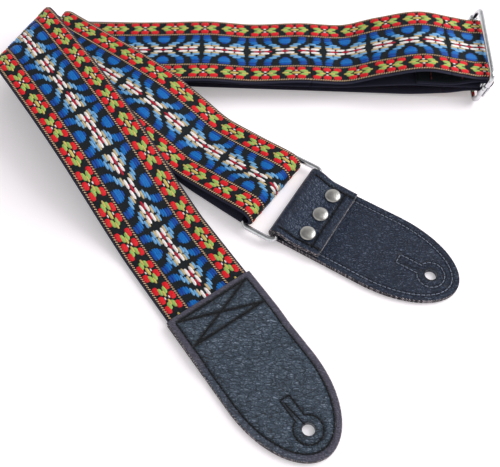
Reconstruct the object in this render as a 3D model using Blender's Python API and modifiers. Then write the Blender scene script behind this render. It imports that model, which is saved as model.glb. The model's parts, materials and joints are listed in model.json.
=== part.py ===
"""Adjustable woven guitar strap, lying folded on a table.

Webbing with a jacquard ribbon sewn on it runs from the front leather tab, through a
slider, round a rectangular ring and back to the slider's bar. The rear leather tab
hangs on the ring. Lengths are metres, headings are degrees in plan, +Z is up.
"""

import math

import bpy
import numpy as np
from mathutils import Matrix, Vector

# Strap: webbing and the ribbon on its outer face
STRAP_WIDTH = 0.050
WEBBING_THICKNESS = 0.0012
RIBBON_INSET = 0.0012
RIBBON_THICKNESS = 0.0008
CLEARANCE = 0.0003

# Front leather tab
FRONT_TAB_LENGTH = 0.101
FRONT_TAB_OVERHANG = 0.00125
FRONT_TOP_THICKNESS = 0.0018
FRONT_BACK_THICKNESS = 0.0014
STRAP_INSERT = 0.023
FRONT_EASE_LENGTH = 0.015

# Rear leather tab, looped round the ring
REAR_TAB_LENGTH = 0.1025
REAR_TAB_WIDTH = 0.0485
REAR_LEATHER_THICKNESS = 0.0014
FLAP_LENGTH = 0.0305
FLAP_END_WIDTH = 0.0465
FLAP_EASE_LENGTH = 0.011

# Both tabs: button hole and rounded end
BUTTON_HOLE_DIAMETER = 0.0064
HOLE_TO_TIP = 0.0155
ROUND_END_LENGTH = 0.046

# Rivets in the rear tab
RIVET_COUNT = 3
RIVET_PITCH = 0.0143
RIVET_FROM_FOLD = 0.0193
RIVET_CAP_DIAMETER = 0.009
RIVET_CAP_HEIGHT = 0.0017
RIVET_POST_DIAMETER = 0.0026
RIVET_BACK_DIAMETER = 0.008
RIVET_BACK_THICKNESS = 0.0007
RIVET_BACK_FLAT = 0.0068
RIVET_BACK_LIFT = 0.00005

# Wire hardware
RING_WIRE = 0.0032
RING_PLAY = 0.002
RING_BAR_PITCH = 0.020
RING_CORNER_RADIUS = 0.0034
SLIDER_WIRE = 0.0032
SLIDER_PLAY = 0.005
SLIDER_BAR_PITCH = 0.011
SLIDER_CORNER_RADIUS = 0.004
SLIDER_TILT = 75.0
CRIMP_WALL = 0.0009
CRIMP_LENGTH = 0.007

# Lay in plan: fixed points and headings of the runs, each towards its left bend
FRONT_TAB_EDGE = (-0.0216, -0.0410)
FRONT_RUN_HEADING = 125.5
SLIDER_CENTRE = (0.1420, 0.1225)
BASE_RUN_HEADING = 177.4
UPPER_RUN_HEADING = 179.9
RETURN_RUN_HEADING = 178.7
RING_STRAP_BAR = (0.0098, 0.0262)
RING_RUN_HEADING = 143.6
REAR_TAB_HEADING = -31.6

# Lay in height: middle of the strap at the left bends
UPPER_RUN_REST = 0.0155
RETURN_RUN_REST = 0.0098
UNDER_RUN_REST = 0.0206
OVER_RUN_REST = 0.0252
FRONT_RUN_REST = 0.0318
RING_LOOP_RADIUS = 0.0058
LOOP_SPARE = 0.0005

# Distances from the slider: stretches that give way when it travels, and the sewn end
SLACK_START = 0.022
SLACK_END = 0.105
TAIL_LENGTH = 0.040

# Fineness of the surfaces
BEND_STEPS = 14
TURNED_STEPS = 20
DOME_STEPS = 6
FLAP_STEPS = 6
TIP_STEPS = 12
TIP_SWEEP = 86.0
ROW_STEP = 0.006

# Widths that follow from the strap's
RIBBON_WIDTH = STRAP_WIDTH - 2 * RIBBON_INSET
FRONT_TAB_WIDTH = STRAP_WIDTH + 2 * FRONT_TAB_OVERHANG
RING_INNER_LENGTH = STRAP_WIDTH + RING_PLAY
SLIDER_INNER_LENGTH = STRAP_WIDTH + SLIDER_PLAY

# Layers of the strap, from its middle
STRAP_THICKNESS = WEBBING_THICKNESS + CLEARANCE + RIBBON_THICKNESS
HALF_STRAP = STRAP_THICKNESS / 2
LAYER_STEP = STRAP_THICKNESS + CLEARANCE
BASE_RUN_REST = HALF_STRAP
WEBBING_OFFSET = WEBBING_THICKNESS / 2 - HALF_STRAP
RIBBON_OFFSET = HALF_STRAP - RIBBON_THICKNESS / 2

# Heights that follow from what wraps the slider's centre bar
ANCHOR_RADIUS = SLIDER_WIRE / 2 + CLEARANCE + HALF_STRAP
TURN_RADIUS = ANCHOR_RADIUS + STRAP_THICKNESS + LOOP_SPARE
SLIDER_RISE = SLIDER_BAR_PITCH * math.sin(math.radians(SLIDER_TILT))
SLIDER_BAR_HEIGHT = SLIDER_WIRE / 2 + SLIDER_RISE
TURN_LOW = SLIDER_BAR_HEIGHT - TURN_RADIUS
TURN_HIGH = SLIDER_BAR_HEIGHT + TURN_RADIUS
ANCHOR_LOW = SLIDER_BAR_HEIGHT - ANCHOR_RADIUS
ANCHOR_HIGH = SLIDER_BAR_HEIGHT + ANCHOR_RADIUS

# Heights that follow from the leather under the strap and the ring
STRAP_IN_TAB = FRONT_BACK_THICKNESS + CLEARANCE + HALF_STRAP
REAR_STEP = REAR_LEATHER_THICKNESS + CLEARANCE
RING_HEIGHT = 2 * REAR_STEP + RING_WIRE / 2
RING_LOOP_LOW = HALF_STRAP
RING_LOOP_HIGH = RING_LOOP_LOW + 2 * RING_LOOP_RADIUS

PART_NAME = "guitar_strap"


def heading_vector(degrees):
    """Unit vector in plan for a heading."""
    angle = math.radians(degrees)
    return np.array([math.cos(angle), math.sin(angle)])


def left_of(direction):
    """Plan vector a quarter turn to the left."""
    return np.array([-direction[1], direction[0]])


class Profile:
    """Smooth height along a run, through chosen (distance, height) points."""

    def __init__(self, points):
        self.u = np.array([p[0] for p in points])
        self.z = np.array([p[1] for p in points])
        steps = np.diff(self.z) / np.diff(self.u)
        before, after = steps[:-1], steps[1:]
        same_way = before * after > 0
        mean = np.where(same_way, 2 * before * after / np.where(same_way, before + after, 1.0), 0.0)
        self.slope = np.concatenate(([0.0], mean, [0.0]))

    def height(self, u):
        """Height and slope at a distance along the run."""
        if u <= self.u[0]:
            return self.z[0], 0.0
        if u >= self.u[-1]:
            return self.z[-1], 0.0
        i = int(np.searchsorted(self.u, u)) - 1
        span = self.u[i + 1] - self.u[i]
        x = (u - self.u[i]) / span
        rise = self.z[i + 1] - self.z[i]
        a = self.slope[i] * span
        b = self.slope[i + 1] * span
        z = self.z[i] + a * x + (3 * rise - 2 * a - b) * x**2 + (a + b - 2 * rise) * x**3
        dz = (a + 2 * (3 * rise - 2 * a - b) * x + 3 * (a + b - 2 * rise) * x**2) / span
        return z, dz


class Run:
    """A straight stretch of strap in plan, heading for its left bend."""

    def __init__(self, start, heading, profile, outer):
        self.start = np.array(start)
        self.along = heading_vector(heading)
        self.across = left_of(self.along)
        self.profile = Profile(profile)
        self.outer = outer
        self.end = 0.0
        self.end_skew = 0.0

    def point(self, u, t, offset):
        """Place on the strap: distance along, distance across, offset to the outer face."""
        z, slope = self.profile.height(u)
        lean = offset * self.outer / math.hypot(1.0, slope)
        plan = self.start + (u - slope * lean) * self.along + t * self.across
        return (plan[0], plan[1], z + lean)

    def row(self, u, skew, width, offset):
        """Two edge points across the strap."""
        return [self.point(u + t * skew, t, offset) for t in (-width / 2, width / 2)]

    def rows(self, u_from, u_to, width, offset):
        """Square rows of edge points from one distance to another."""
        count = max(2, round(abs(u_to - u_from) / ROW_STEP))
        steps = [u_from + (u_to - u_from) * i / count for i in range(count + 1)]
        return [self.row(u, 0.0, width, offset) for u in steps]

    def rows_to_bend(self, u_from, width, offset):
        """Square rows, then a last one along the line where the left bend starts."""
        square_end = self.end - abs(self.end_skew) * STRAP_WIDTH / 2 - ROW_STEP / 2
        rows = self.rows(u_from, square_end, width, offset)
        rows.append(self.row(self.end - CLEARANCE / 2, self.end_skew, width, offset))
        return rows


class Bend:
    """Half a turn of strap round a level axis, from a lower run to an upper one."""

    def __init__(self, lower, upper, low, high, left=True):
        side = 1.0 if left else -1.0
        self.low = low
        self.radius = (high - low) / 2
        self.along = side * lower.along
        self.across = lower.across
        leaving = -side * upper.along
        axis = self.along + leaving
        if np.linalg.norm(axis) < 1e-9:
            axis = left_of(self.along)
        self.axis = axis / np.linalg.norm(axis)
        self.normal = left_of(self.axis)
        if self.normal @ self.along < 0:
            self.normal = -self.normal
        drift = math.pi * self.radius * (self.along @ self.axis) / (self.along @ self.normal)
        self.centre = lower.start
        if left:
            side_way = upper.across
            reach = (upper.start - lower.start - drift * self.axis) @ side_way
            reach /= lower.along @ side_way
            self.centre = lower.start + reach * lower.along
            leaves = self.centre + drift * self.axis
            for run, place in ((lower, self.centre), (upper, leaves)):
                run.end = (place - run.start) @ run.along
                run.end_skew = -(run.across @ self.normal) / (run.along @ self.normal)
        else:
            upper.start = lower.start + drift * self.axis

    def point(self, q, t, offset):
        """Place on the bend: distance round it, distance across, offset outwards."""
        s = (q - t * (self.across @ self.normal)) / (self.along @ self.normal)
        y = s * (self.along @ self.axis) + t * (self.across @ self.axis)
        angle = q / self.radius
        r = self.radius + offset
        plan = self.centre + y * self.axis + r * math.sin(angle) * self.normal
        return (plan[0], plan[1], self.low + self.radius - r * math.cos(angle))

    def rows(self, width, offset, trim):
        """Edge points across the strap all the way round the bend."""
        length = math.pi * self.radius
        rows = []
        for i in range(BEND_STEPS + 1):
            q = trim + (length - 2 * trim) * i / BEND_STEPS
            rows.append([self.point(q, t, offset) for t in (-width / 2, width / 2)])
        return rows


class Assembly:
    """The part's collections, pivots and pieces."""

    def __init__(self, name):
        for obj in list(bpy.data.objects):
            bpy.data.objects.remove(obj)
        self.parts = self.collection(name)
        self.cutters = self.collection(name + "_cutters")
        self.pivots = {}
        self.materials = {}
        self.pivot("strap", (0.0, 0.0, 0.0))

    @staticmethod
    def collection(name):
        """A collection of the scene, made if it isn't there."""
        found = bpy.data.collections.get(name) or bpy.data.collections.new(name)
        if found.name not in bpy.context.scene.collection.children:
            bpy.context.scene.collection.children.link(found)
        return found

    def pivot(self, name, place, parent=None):
        """An empty on a joint's axis that carries the pieces of one body."""
        empty = bpy.data.objects.new(name + "_pivot", None)
        self.parts.objects.link(empty)
        base = Vector((0.0, 0.0, 0.0))
        if parent:
            empty.parent = self.pivots[parent][0]
            base = self.pivots[parent][1]
        empty.location = Vector(place) - base
        self.pivots[name] = (empty, Vector(place))
        return empty

    def material(self, name, colour, roughness, metallic=0.0):
        """A Principled material that pieces can share by name."""
        found = bpy.data.materials.get(name) or bpy.data.materials.new(name)
        found.use_nodes = True
        shader = found.node_tree.nodes["Principled BSDF"]
        shader.inputs["Base Color"].default_value = (*colour, 1.0)
        shader.inputs["Roughness"].default_value = roughness
        shader.inputs["Metallic"].default_value = metallic
        self.materials[name] = found

    def hang(self, obj, body, collection, keep_origin=False):
        """Move an object to a collection and parent it to its body's pivot."""
        for holder in list(obj.users_collection):
            holder.objects.unlink(obj)
        collection.objects.link(obj)
        empty, place = self.pivots[body]
        if keep_origin:
            obj.location = obj.location - place
        else:
            obj.data.transform(Matrix.Translation(-place) @ obj.matrix_basis)
            obj.matrix_basis = Matrix.Identity(4)
        obj.parent = empty

    def add(self, obj, body, material, keep_origin=False):
        """Put a piece in the part's collection, with a material of its own."""
        self.hang(obj, body, self.parts, keep_origin)
        own = self.materials[material].copy()
        own.name = obj.name
        obj.data.materials.clear()
        obj.data.materials.append(own)
        return obj

    def sheet(self, name, rows, thickness, body, material):
        """An open surface through rows of points, thickened to a closed sheet."""
        columns = len(rows[0])
        points = [p for row in rows for p in row]
        faces = []
        for i in range(len(rows) - 1):
            for j in range(columns - 1):
                a = i * columns + j
                faces.append((a, a + 1, a + columns + 1, a + columns))
        mesh = bpy.data.meshes.new(name)
        mesh.from_pydata(points, [], faces)
        obj = bpy.data.objects.new(name, mesh)
        self.add(obj, body, material)
        solid = obj.modifiers.new("thickness", "SOLIDIFY")
        solid.thickness = thickness
        solid.offset = 0.0
        solid.use_even_offset = True
        return obj

    def cylinder(self, name, radius, length, place, direction, sides=24):
        """A closed cylinder centred on a place, along a direction."""
        bpy.ops.mesh.primitive_cylinder_add(vertices=sides, radius=radius, depth=length)
        obj = bpy.context.object
        obj.name = name
        obj.data.name = name
        turn = Vector((0.0, 0.0, 1.0)).rotation_difference(Vector(direction))
        obj.matrix_basis = Matrix.Translation(Vector(place)) @ turn.to_matrix().to_4x4()
        return obj

    def tool(self, obj, body):
        """Keep a cylinder as a hidden cutter that follows its body."""
        self.hang(obj, body, self.cutters)
        obj.hide_render = True
        obj.display_type = "WIRE"
        return obj

    @staticmethod
    def boolean(obj, tool, operation="DIFFERENCE"):
        """Cut or join a piece with a hidden tool."""
        change = obj.modifiers.new(operation.lower(), "BOOLEAN")
        change.operation = operation
        change.solver = "EXACT"
        change.object = tool

    def wire(self, name, points, diameter, body, material):
        """A closed loop of round wire through points."""
        place = self.pivots[body][1]
        curve = bpy.data.curves.new(name, "CURVE")
        curve.dimensions = "3D"
        curve.bevel_depth = diameter / 2
        curve.bevel_resolution = 3
        curve.twist_mode = "MINIMUM"
        spline = curve.splines.new("POLY")
        spline.points.add(len(points) - 1)
        for knot, p in zip(spline.points, points):
            knot.co = (*p, 1.0)
        spline.use_cyclic_u = True
        obj = bpy.data.objects.new(name, curve)
        obj.location = place
        return self.add(obj, body, material, keep_origin=True)

    def turned(self, name, profile, place, body, material):
        """A solid of revolution about a vertical line, from (radius, height) points."""
        mesh = bpy.data.meshes.new(name)
        edges = [(i, i + 1) for i in range(len(profile) - 1)]
        mesh.from_pydata([(r, 0.0, z) for r, z in profile], edges, [])
        obj = bpy.data.objects.new(name, mesh)
        obj.location = place
        screw = obj.modifiers.new("turn", "SCREW")
        screw.steps = TURNED_STEPS
        screw.render_steps = TURNED_STEPS
        screw.use_merge_vertices = True
        screw.merge_threshold = 0.00001
        return self.add(obj, body, material, keep_origin=True)


def rounded_loop(half_long, half_short, corner, long_way, short_way, steps=5):
    """Points of a rounded rectangle in the plane of two directions."""
    points = []
    for quarter in range(4):
        x_sign = 1.0 if quarter in (0, 3) else -1.0
        y_sign = 1.0 if quarter in (0, 1) else -1.0
        for i in range(steps + 1):
            angle = math.radians(90.0) * (quarter + i / steps)
            x = x_sign * (half_long - corner) + corner * math.cos(angle)
            y = y_sign * (half_short - corner) + corner * math.sin(angle)
            points.append(tuple(x * long_way + y * short_way))
    return points


def tab_half_width(u, length, width):
    """Half width of a tab: straight sides, then a rounded end."""
    start = length - ROUND_END_LENGTH
    if u <= start:
        return width / 2
    return width / 2 * math.sqrt(max(0.0, 1.0 - ((u - start) / ROUND_END_LENGTH) ** 2))


def tab_stations(length, start):
    """Distances along a tab, closer together round its end."""
    straight = length - ROUND_END_LENGTH
    count = max(2, round((straight - start) / (2 * ROW_STEP)))
    stations = [start + (straight - start) * i / count for i in range(count)]
    for i in range(TIP_STEPS + 1):
        angle = math.radians(TIP_SWEEP) * i / TIP_STEPS
        stations.append(straight + ROUND_END_LENGTH * math.sin(angle))
    return stations


def strap_runs():
    """The strap's runs with their height profiles, outer face up (1) or down (-1)."""
    front = Run(
        FRONT_TAB_EDGE,
        FRONT_RUN_HEADING,
        [
            (0.000, STRAP_IN_TAB),
            (0.040, STRAP_IN_TAB + 0.0004),
            (0.062, STRAP_IN_TAB + 0.0058),
            (0.085, STRAP_IN_TAB + 0.0150),
            (0.110, FRONT_RUN_REST - 0.0052),
            (0.138, FRONT_RUN_REST - 0.0012),
            (0.165, FRONT_RUN_REST),
        ],
        1.0,
    )
    base = Run(
        SLIDER_CENTRE,
        BASE_RUN_HEADING,
        [
            (0.004, TURN_LOW),
            (0.020, TURN_LOW - 0.0030),
            (0.048, BASE_RUN_REST),
        ],
        -1.0,
    )
    upper = Run(
        SLIDER_CENTRE,
        UPPER_RUN_HEADING,
        [
            (0.003, TURN_HIGH),
            (0.014, TURN_HIGH + 0.0022),
            (0.037, TURN_HIGH + 0.0070),
            (0.062, UPPER_RUN_REST + 0.0045),
            (0.086, UPPER_RUN_REST - 0.0020),
            (0.111, UPPER_RUN_REST - 0.0004),
            (0.139, UPPER_RUN_REST - 0.0016),
            (0.170, UPPER_RUN_REST + 0.0010),
            (0.200, UPPER_RUN_REST + 0.0002),
            (0.224, UPPER_RUN_REST),
        ],
        1.0,
    )
    back = Run(
        SLIDER_CENTRE,
        RETURN_RUN_HEADING,
        [
            (0.002, ANCHOR_LOW),
            (0.022, ANCHOR_LOW + 0.0004),
            (0.042, ANCHOR_LOW + 0.0012),
            (0.064, RETURN_RUN_REST - 0.0008),
            (0.088, RETURN_RUN_REST - 0.0028),
            (0.139, RETURN_RUN_REST - 0.0018),
            (0.170, RETURN_RUN_REST - 0.0004),
            (0.200, RETURN_RUN_REST),
        ],
        -1.0,
    )
    under = Run(
        RING_STRAP_BAR,
        RING_RUN_HEADING,
        [
            (0.000, RING_LOOP_LOW),
            (0.034, RING_LOOP_LOW + 0.0003),
            (0.060, RING_LOOP_LOW + 0.0056),
            (0.088, UNDER_RUN_REST - 0.0016),
            (0.122, UNDER_RUN_REST),
        ],
        -1.0,
    )
    over = Run(
        RING_STRAP_BAR,
        RING_RUN_HEADING,
        [
            (0.000, RING_LOOP_HIGH),
            (0.022, RING_LOOP_HIGH - 0.0018),
            (0.044, RING_LOOP_HIGH - 0.0030),
            (0.066, OVER_RUN_REST - 0.0088),
            (0.090, OVER_RUN_REST - 0.0020),
            (0.120, OVER_RUN_REST),
        ],
        1.0,
    )
    tail = Run(
        SLIDER_CENTRE,
        RETURN_RUN_HEADING,
        [
            (0.002, ANCHOR_HIGH),
            (0.020, ANCHOR_LOW + 0.0003 + LAYER_STEP),
            (0.042, ANCHOR_LOW + 0.0014 + LAYER_STEP),
        ],
        1.0,
    )
    return front, base, upper, back, under, over, tail


def build_strap(part, runs):
    """Webbing and ribbon stretches, both laid along the same route."""
    front, base, upper, back, under, over, tail = runs
    turn = Bend(base, upper, TURN_LOW, TURN_HIGH, left=False)
    anchor = Bend(back, tail, ANCHOR_LOW, ANCHOR_HIGH, left=False)
    ring_loop = Bend(under, over, RING_LOOP_LOW, RING_LOOP_HIGH, left=False)
    outer_bend = Bend(base, front, BASE_RUN_REST, FRONT_RUN_REST)
    middle_bend = Bend(back, over, RETURN_RUN_REST, OVER_RUN_REST)
    inner_bend = Bend(upper, under, UPPER_RUN_REST, UNDER_RUN_REST)
    gap = CLEARANCE / 2
    near = ROW_STEP / 2
    layers = (
        ("webbing", STRAP_WIDTH, WEBBING_THICKNESS, WEBBING_OFFSET),
        ("ribbon", RIBBON_WIDTH, RIBBON_THICKNESS, RIBBON_OFFSET),
    )
    for layer, width, thickness, offset in layers:
        slack = (SLACK_START + gap, SLACK_END - gap, width, offset)
        rest = (SLACK_END + gap, width, offset)
        stretches = {
            "front_run": front.rows_to_bend(-STRAP_INSERT, width, offset),
            "outer_bend": outer_bend.rows(width, offset, gap),
            "base_run": base.rows_to_bend(*rest),
            "base_slack": base.rows(*slack),
            "upper_slack": upper.rows(*slack),
            "upper_run": upper.rows_to_bend(*rest),
            "inner_bend": inner_bend.rows(width, offset, gap),
            "under_run": under.rows_to_bend(gap, width, offset),
            "ring_loop": ring_loop.rows(width, offset, gap),
            "over_run": over.rows_to_bend(gap, width, offset),
            "middle_bend": middle_bend.rows(width, offset, gap),
            "return_run": back.rows_to_bend(*rest),
            "return_slack": back.rows(*slack),
        }
        for name, rows in stretches.items():
            part.sheet(f"{layer}_{name}", rows, thickness, "strap", layer)
        threaded = base.rows(SLACK_START - gap, near, width, offset)
        threaded += turn.rows(width, offset, 0.0)
        threaded += upper.rows(near, SLACK_START - gap, width, offset)
        part.sheet(f"{layer}_slider_turn", threaded, thickness, "slider", layer)
        sewn = back.rows(SLACK_START - gap, near, width, offset)
        sewn += anchor.rows(width, offset, 0.0)
        sewn += tail.rows(near, TAIL_LENGTH, width, offset)
        part.sheet(f"{layer}_anchor_loop", sewn, thickness, "slider", layer)
    return turn


def button_hole(part, name, place, height, body):
    """Hidden cutter for a tab's button hole."""
    hole = part.cylinder(name, BUTTON_HOLE_DIAMETER / 2, height, place, (0.0, 0.0, 1.0))
    return part.tool(hole, body)


def build_front_tab(part, front):
    """Two leather layers that hold the strap's end between them."""
    way = -front.along
    side = left_of(way)
    low = FRONT_BACK_THICKNESS + CLEARANCE + FRONT_TOP_THICKNESS / 2
    high = low + STRAP_THICKNESS + CLEARANCE
    ease_start = STRAP_INSERT + CLEARANCE
    top = Profile([(0.0, high), (ease_start, high), (ease_start + FRONT_EASE_LENGTH, low)])
    hole_place = front.start + (FRONT_TAB_LENGTH - HOLE_TO_TIP) * way
    tool = button_hole(part, "front_hole_cutter", (*hole_place, low), 8 * low, "strap")
    layers = (
        ("front_tab_top", FRONT_TOP_THICKNESS, lambda u: top.height(u)[0]),
        ("front_tab_back", FRONT_BACK_THICKNESS, lambda u: FRONT_BACK_THICKNESS / 2),
    )
    stations = tab_stations(FRONT_TAB_LENGTH, 0.0)
    for name, thickness, height in layers:
        rows = []
        for u in stations:
            half = tab_half_width(u, FRONT_TAB_LENGTH, FRONT_TAB_WIDTH)
            middle = front.start + u * way
            rows.append([(*(middle + t * side), height(u)) for t in (-half, half)])
        obj = part.sheet(name, rows, thickness, "strap", "leather")
        part.boolean(obj, tool)


def rear_rows(radius, flap_height, bar, way):
    """Rows of one rear leather layer: body, loop round the ring's bar, then the flap."""
    side = left_of(way)
    bar_at = RING_HEIGHT
    rows = []

    def add(u, z, half):
        middle = bar + (u - bar_at) * way
        rows.append([(*(middle + t * side), z) for t in (-half, half)])

    for u in reversed(tab_stations(REAR_TAB_LENGTH, bar_at)):
        add(u, RING_HEIGHT - radius, tab_half_width(u, REAR_TAB_LENGTH, REAR_TAB_WIDTH))
    for i in range(1, BEND_STEPS + 1):
        angle = math.pi * i / BEND_STEPS
        z = RING_HEIGHT - radius * math.cos(angle)
        add(bar_at - radius * math.sin(angle), z, REAR_TAB_WIDTH / 2)
    fall = Profile([(0.0, RING_HEIGHT + radius), (FLAP_EASE_LENGTH, flap_height)])
    for i in range(1, FLAP_STEPS + 1):
        u = FLAP_EASE_LENGTH * i / FLAP_STEPS
        add(bar_at + u, fall.height(u)[0], REAR_TAB_WIDTH / 2)
    add(FLAP_LENGTH, flap_height, FLAP_END_WIDTH / 2)
    return rows


def build_rear_tab(part, bar, way):
    """Double leather looped round the ring and held by a row of rivets."""
    side = left_of(way)
    inner_flap = 2 * REAR_STEP + REAR_LEATHER_THICKNESS / 2
    outer_flap = inner_flap + REAR_STEP
    outer_radius = RING_HEIGHT - REAR_LEATHER_THICKNESS / 2
    layers = (
        ("rear_tab_outer", outer_radius, outer_flap),
        ("rear_tab_inner", outer_radius - REAR_STEP, inner_flap),
    )
    hole_u = REAR_TAB_LENGTH - HOLE_TO_TIP - RING_HEIGHT
    hole_place = bar + hole_u * way
    hole_middle = (*hole_place, REAR_STEP)
    tools = [button_hole(part, "rear_hole_cutter", hole_middle, 8 * REAR_STEP, "rear_tab")]
    flap_top = outer_flap + REAR_LEATHER_THICKNESS / 2
    recess = RIVET_BACK_THICKNESS + CLEARANCE
    upright = (0.0, 0.0, 1.0)
    shaft_radius = RIVET_POST_DIAMETER / 2 + CLEARANCE
    well_radius = RIVET_BACK_DIAMETER / 2 + CLEARANCE
    backs = []
    for i in range(RIVET_COUNT):
        across = (i - (RIVET_COUNT - 1) / 2) * RIVET_PITCH
        place = bar + (RIVET_FROM_FOLD - RING_HEIGHT) * way + across * side
        label = str(i + 1)
        build_rivet(part, label, place, flap_top, recess)
        foot = (*place, 0.0)
        shaft = part.cylinder("rivet_shaft_" + label, shaft_radius, 4 * flap_top, foot, upright)
        tools.append(part.tool(shaft, "rear_tab"))
        well = part.cylinder("rivet_well_" + label, well_radius, 2 * recess, foot, upright)
        backs.append(part.tool(well, "rear_tab"))
    for name, radius, flap_height in layers:
        rows = rear_rows(radius, flap_height, bar, way)
        obj = part.sheet(name, rows, REAR_LEATHER_THICKNESS, "rear_tab", "leather")
        for tool in tools + (backs if name == "rear_tab_outer" else []):
            part.boolean(obj, tool)


def build_rivet(part, label, place, flap_top, recess):
    """Domed cap with its post, and the flat back let into the leather."""
    cap_radius = RIVET_CAP_DIAMETER / 2
    post_radius = RIVET_POST_DIAMETER / 2
    seat = flap_top + CLEARANCE
    profile = []
    for i in range(DOME_STEPS + 1):
        angle = math.radians(90.0) * i / DOME_STEPS
        profile.append((cap_radius * math.sin(angle), seat + RIVET_CAP_HEIGHT * math.cos(angle)))
    profile += [(post_radius, seat), (post_radius, recess), (0.0, recess)]
    part.turned("rivet_cap_" + label, profile, (*place, 0.0), "rear_tab", "nickel")
    back_radius = RIVET_BACK_DIAMETER / 2
    back_top = RIVET_BACK_THICKNESS
    back = [(0.0, back_top), (RIVET_BACK_FLAT / 2, back_top), (back_radius, back_top / 2)]
    back += [(back_radius, RIVET_BACK_LIFT), (0.0, RIVET_BACK_LIFT)]
    part.turned("rivet_back_" + label, back, (*place, 0.0), "rear_tab", "nickel")


def build_ring(part, way):
    """Rectangular wire ring between the strap's loop and the rear tab."""
    long_way = np.array([*left_of(way), 0.0])
    short_way = np.array([*way, 0.0])
    half_long = (RING_INNER_LENGTH + RING_WIRE) / 2
    half_short = RING_BAR_PITCH / 2
    loop = rounded_loop(half_long, half_short, RING_CORNER_RADIUS, long_way, short_way)
    points = [tuple(np.array(p) + half_short * short_way) for p in loop]
    part.wire("strap_ring", points, RING_WIRE, "ring", "chrome")


def build_slider(part, turn):
    """Wire frame of the slider with its crimped centre bar."""
    tilt = math.radians(SLIDER_TILT)
    long_way = np.array([*turn.axis, 0.0])
    short_way = np.array([*(math.cos(tilt) * turn.normal), math.sin(tilt)])
    half_long = (SLIDER_INNER_LENGTH + SLIDER_WIRE) / 2
    loop = rounded_loop(half_long, SLIDER_BAR_PITCH, SLIDER_CORNER_RADIUS, long_way, short_way)
    part.wire("slider_frame", loop, SLIDER_WIRE, "slider", "chrome")
    centre = np.array(part.pivots["slider"][1])
    bar = part.cylinder("slider_bar", SLIDER_WIRE / 2, 2 * half_long, centre, long_way)
    bar = part.add(bar, "slider", "chrome")
    bore = SLIDER_WIRE / 2 + CLEARANCE
    for end, sign in (("near", -1.0), ("far", 1.0)):
        place = centre + sign * half_long * long_way
        sleeve = part.cylinder("crimp_" + end, bore + CRIMP_WALL, CRIMP_LENGTH, place, short_way)
        part.boolean(bar, part.tool(sleeve, "slider"), "UNION")
    for end, sign in (("near", -1.0), ("far", 1.0)):
        place = centre + sign * half_long * long_way
        hole = part.cylinder("crimp_bore_" + end, bore, 2 * CRIMP_LENGTH, place, short_way)
        part.boolean(bar, part.tool(hole, "slider"))


def stand_on_origin(part):
    """Shift the whole part so that its box stands on the origin."""
    bpy.context.view_layer.update()
    graph = bpy.context.evaluated_depsgraph_get()
    corners = []
    for obj in part.parts.objects:
        if obj.type == "EMPTY":
            continue
        shape = obj.evaluated_get(graph)
        mesh = shape.to_mesh()
        corners += [shape.matrix_world @ v.co for v in mesh.vertices]
        shape.to_mesh_clear()
    points = np.array(corners)
    low = points.min(axis=0)
    high = points.max(axis=0)
    shift = Vector((-(low[0] + high[0]) / 2, -(low[1] + high[1]) / 2, -low[2]))
    part.pivots["strap"][0].location = shift
    bpy.context.view_layer.update()


def main():
    """Build every piece and stand the part on its origin."""
    part = Assembly(PART_NAME)
    part.material("webbing", (0.010, 0.011, 0.015), 0.75)
    part.material("ribbon", (0.16, 0.05, 0.06), 0.6)
    part.material("leather", (0.022, 0.027, 0.037), 0.5)
    part.material("nickel", (0.72, 0.70, 0.66), 0.25, 1.0)
    part.material("chrome", (0.78, 0.78, 0.80), 0.12, 1.0)
    rear_way = heading_vector(REAR_TAB_HEADING)
    strap_bar = np.array(RING_STRAP_BAR)
    tab_bar = strap_bar + RING_BAR_PITCH * rear_way
    part.pivot("ring", (*strap_bar, RING_HEIGHT), "strap")
    part.pivot("rear_tab", (*tab_bar, RING_HEIGHT), "ring")
    part.pivot("slider", (*SLIDER_CENTRE, SLIDER_BAR_HEIGHT), "strap")
    runs = strap_runs()
    turn = build_strap(part, runs)
    build_front_tab(part, runs[0])
    build_rear_tab(part, tab_bar, rear_way)
    build_ring(part, rear_way)
    build_slider(part, turn)
    stand_on_origin(part)


if __name__ == "__main__":
    main()
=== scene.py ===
"""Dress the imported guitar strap: woven ribbon, webbing, stitched leather and plated wire.

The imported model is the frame. The strap's route is worked out again here from the lay's own
headings and heights, so that the woven floats can be laid on it thread by thread.
Lengths are metres and headings are degrees in plan, unless a name says otherwise.
"""

import json
import logging
import math
from dataclasses import dataclass, field
from enum import Enum
from typing import Callable

import bpy
import numpy as np
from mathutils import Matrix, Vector


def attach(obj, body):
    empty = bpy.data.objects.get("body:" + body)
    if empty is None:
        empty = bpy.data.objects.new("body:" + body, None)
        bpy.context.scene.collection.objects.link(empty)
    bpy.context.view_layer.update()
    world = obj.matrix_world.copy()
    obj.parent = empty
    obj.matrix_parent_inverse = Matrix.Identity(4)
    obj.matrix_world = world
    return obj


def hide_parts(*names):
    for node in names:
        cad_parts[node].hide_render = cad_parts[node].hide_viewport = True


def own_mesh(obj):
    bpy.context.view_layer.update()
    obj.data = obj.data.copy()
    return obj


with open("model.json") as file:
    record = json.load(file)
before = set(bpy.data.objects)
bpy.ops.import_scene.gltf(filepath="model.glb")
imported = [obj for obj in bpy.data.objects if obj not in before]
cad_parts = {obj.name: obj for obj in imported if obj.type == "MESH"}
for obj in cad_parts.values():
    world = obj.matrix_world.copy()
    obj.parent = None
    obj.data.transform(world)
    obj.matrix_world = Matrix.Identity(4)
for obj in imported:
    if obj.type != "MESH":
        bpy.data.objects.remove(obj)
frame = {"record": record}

LOG = logging.getLogger("guitar_strap")
Array = np.ndarray
Piece = bpy.types.Object
Pair = tuple[float, float]
Triple = tuple[float, float, float]
Colour = Triple
Socket = bpy.types.NodeSocket
MM = 0.001
CLEARANCE = 0.0003
RING_WIRE = 0.0032
RING_HEADING = -31.6
BLACK: Colour = (0.0, 0.0, 0.0)
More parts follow.
